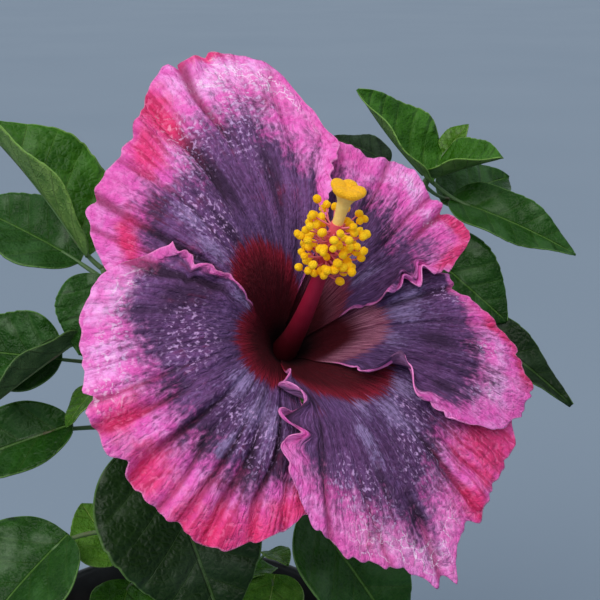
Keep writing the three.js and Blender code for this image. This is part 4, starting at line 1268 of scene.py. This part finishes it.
    feather = eye + (hair - 0.5) * 0.5 + (strand - 0.5) * 0.35
    wine = made.mix(eye.between(0.02, 0.46), tone(146, 24, 50), tone(84, 8, 24))
    wine = made.mix(hair.between(0.44, 0.60) * 0.6, wine, tone(58, 5, 17))
    ashen = made.mix(hair.between(0.40, 0.60), tone(204, 134, 160), tone(122, 54, 86))
    wine = made.mix(greyness * eye.between(0.65, 0.25) * 0.85, wine, ashen)
    wine = made.mix(s.between(0.13, 0.05), wine, tone(46, 4, 13))
    body = made.mix(feather.between(-0.04, 0.09), body, wine)
    if back:
        body = made.mix(0.25, body, tone(196, 128, 176))
    made.wear(Base_Color=body, Roughness=0.58 + dapple * 0.2)
    made.relief(crepe * 0.9 + strand * 0.4 + hair * 0.15 + dapple * 0.7, 0.0026, 0.9)
    return made


petal_finishes = [petal_finish("petal_face", False), petal_finish("petal_back", True)]
for petal_name, shape in PETALS.items():
    u, v, faces = grid(*PETAL_GRID, reverse=True)
    points, maps = petal_surface(shape, u, v ** 0.85)
    sheet = Heap()
    sheet.add(points * MM, faces, 0, **maps)
    petal = sheet.piece(petal_name + "_limb", petal_finishes)
    plate = petal.modifiers.new("petal_thickness", "SOLIDIFY")
    plate.thickness, plate.offset, plate.material_offset = PETAL_THICKNESS * MM, 0.0, 1
    bpy.ops.object.modifier_apply(modifier=plate.name)
    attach(petal, "root")
    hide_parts(petal_name)


# ---- Bloom: column -------------------------------------------------------------------------------
# The crimson tube that rises from the throat and bends upwards, round and smooth, darker at its
# foot. Its upper third carries the stamens.
COLUMN_TIP = (75, -118, 386)
COLUMN_RADII, STAMENS_FROM, STAMENS_TO = (4.6, 2.8, 2.4), 0.58, 0.86
column_path = path(flower_point(0.4), flower_point(40), COLUMN_TIP)
table = np.linspace(0, 1, 400)
walked = np.concatenate([[0], np.cumsum(np.linalg.norm(np.diff(column_path(table), axis=0), axis=1))])


def up_column(share):
    """A point at a share of the column's length."""
    return column_path(np.interp(np.asarray(share, float) * walked[-1], walked, table))


tube_heap = Heap()
shares = np.linspace(0, STAMENS_TO, 60)
radii = np.interp(shares, (0, STAMENS_FROM, STAMENS_TO), COLUMN_RADII) + 1.2 * np.exp(-shares / 0.10)
points, faces = tube(up_column(shares), radii, 32)
tube_heap.add(points * MM, faces)
column = tube_heap.piece("staminal_column", [], 60)
column_skin = Finish("crimson_column", Specular_IOR_Level=0.4)
spot = column_skin.place()
height = column_skin.height(spot)
film = column_skin.grain(spot, 240.0, 3.0)
column_skin.wear(
    Base_Color=column_skin.mix(
        height.between(0.352, 0.376),
        column_skin.mix(height.between(0.316, 0.352), tone(80, 5, 20), tone(160, 18, 54)),
        tone(226, 92, 108),
    ),
    Roughness=0.42 + film * 0.15,
)
column_skin.relief(film, 0.0003)
column.data.materials.append(column_skin.material)
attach(column, "root")
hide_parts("column")


# ---- Bloom: stamens ------------------------------------------------------------------------------
# Fine coral filaments stand out of the upper column all round, and each ends in a round anther
# powdered with yellow pollen. The anthers glow faintly with painted light of their own.
ANTHERS = 104
ANTHER_RADIUS, FILAMENT_REACH = 1.82, (5.5, 13.5)
filaments, anthers = Heap(), Heap()
bead_points, bead_faces = pattern_of(bpy.ops.mesh.primitive_ico_sphere_add, subdivisions=2, radius=1)
chance = np.random.default_rng(19)
for k in range(ANTHERS):
    share = (k + 0.5) / ANTHERS
    foot = up_column(STAMENS_FROM + 0.02 + (STAMENS_TO - STAMENS_FROM - 0.04) * share)
    level = STAMENS_FROM + (STAMENS_TO - STAMENS_FROM) * share
    along = up_column(level + 0.01) - up_column(level)
    along /= np.linalg.norm(along)
    side = np.cross(along, UPWARD)
    side = turned_about(side / np.linalg.norm(side), along, GOLDEN_ANGLE * k + 10 * chance.normal())
    short, long = FILAMENT_REACH
    reach = short + (long - short) * chance.uniform() ** 0.7 * (0.55 + 0.45 * smooth(0, 0.3, share))
    tip = foot + side * reach + along * (2.0 + 4.5 * chance.uniform())
    bend = foot + side * reach * 0.6 + along * 0.5 + chance.normal(size=3) * 0.6
    shares = np.linspace(0, 1, 7)
    points, faces = tube(path(foot, bend, tip)(shares), 0.42 - 0.16 * shares, 6)
    filaments.add(points * MM, faces)
    squat = np.array([1.0, 0.82, 0.92]) * ANTHER_RADIUS * (0.9 + 0.2 * chance.uniform())
    crease = 1 - 0.22 * np.exp(-((bead_points[:, 1] / 0.22) ** 2)) * (bead_points[:, 2] < 0.4)
    points = (bead_points * crease[:, None] * squat) @ turned_by(chance).T + tip
    anthers.add(points * MM, bead_faces)
coral = Finish("coral_filament", Roughness=0.45, Specular_IOR_Level=0.4)
spot = coral.place()
coral.wear(Base_Color=coral.mix(coral.grain(spot, 200.0), tone(214, 84, 104), tone(236, 140, 150)))
coral.relief(coral.grain(spot, 1200.0), 0.0001)
# Painted glow: the pollen emits a little orange light, standing in for light through the anthers.
pollen = Finish(
    "yellow_pollen_painted_glow", Roughness=0.85, Specular_IOR_Level=0.2, Emission_Color=tone(255, 170, 0),
    Emission_Strength=0.16
)
spot = pollen.place()
dusting = pollen.grain(spot, 1500.0, 4.0)
lumps = pollen.cells(spot, 2600.0)
pollen.wear(
    Base_Color=pollen.mix(
        pollen.grain(spot, 180.0, 2.0).between(0.35, 0.65),
        pollen.mix(dusting, tone(244, 176, 6), tone(255, 206, 14)),
        pollen.mix(dusting, tone(252, 198, 10), tone(255, 226, 48)),
    )
)
pollen.relief(dusting * 0.6 - lumps * 0.6, 0.0007)
threads = filaments.piece("filaments", [coral])
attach(threads, "root")
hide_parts("stamens")
beads = anthers.piece("anthers", [pollen])
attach(beads, "root")


# ---- Bloom: stigma -------------------------------------------------------------------------------
# The style runs on from the column's end as a pale neck and flares into a small velvety fan with
# five rounded lobes, each a pad with a rolled edge. The pads glow faintly with painted light.
PADS, PAD_RADIUS, PAD_CIRCLE = 5, 3.0, 3.6
neck_foot, top = up_column(STAMENS_TO - 0.03), column_path(1.0)
along = top - up_column(0.97)
along /= np.linalg.norm(along)
side = np.cross(along, UPWARD)
side /= np.linalg.norm(side)
necks, pads = Heap(), Heap()
shares = np.linspace(0, 1, 16)
flare = 2.1 + 0.5 * smooth(0.3, 0.8, shares) + 1.9 * smooth(0.7, 1, shares)
points, faces = tube(neck_foot + shares[:, None] * (top + along * 0.2 - neck_foot), flare, 24)
necks.add(points * MM, faces)
dome_points, dome_faces = pattern_of(bpy.ops.mesh.primitive_uv_sphere_add, segments=28, ring_count=18,
                                     radius=1)
for arm in range(PADS):
    out = turned_about(side, along, 360 / PADS * arm + 20)
    seat = top + out * PAD_CIRCLE + along * (0.6 + 0.8 * draw(arm + 5))
    tip_side = np.cross(along, out)
    shape = dome_points * (PAD_RADIUS * (1.0 + 0.12 * draw(arm + 9))) * np.array([1.0, 1.12, 0.62])
    points = seat + shape[:, :1] * (out + along * 0.25) + shape[:, 1:2] * tip_side + shape[:, 2:] * along
    pads.add(points * MM, dome_faces)
cap = dome_points * np.array([3.2, 3.2, 1.4])
dome = top + along * 0.6 + cap[:, :1] * side + cap[:, 1:2] * np.cross(along, side) + cap[:, 2:] * along
pads.add(dome * MM, dome_faces)
neck_skin = Finish("pale_style", Specular_IOR_Level=0.4, Roughness=0.45)
spot = neck_skin.place()
neck_skin.wear(Base_Color=neck_skin.mix(neck_skin.grain(spot, 220.0), tone(240, 196, 96),
                                        tone(250, 222, 132)))
neck_skin.relief(neck_skin.grain(spot, 900.0), 0.0002)
# Painted glow: the velvet emits a little orange light of its own.
velvet = Finish("stigma_velvet_painted_glow", Roughness=0.8, Emission_Color=tone(255, 176, 0), Emission_Strength=0.2)
spot = velvet.place()
nap = velvet.cells(spot, 2300.0)
velvet.wear(Base_Color=velvet.mix(nap.between(0.1, 0.5), tone(255, 208, 22), tone(250, 184, 12)))
velvet.relief(1.0 - nap, 0.0007)
style = necks.piece("style_neck", [neck_skin], 50)
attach(style, "root")
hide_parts("stigma")
lobes = pads.piece("stigma_pads", [velvet], 50)
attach(lobes, "root")
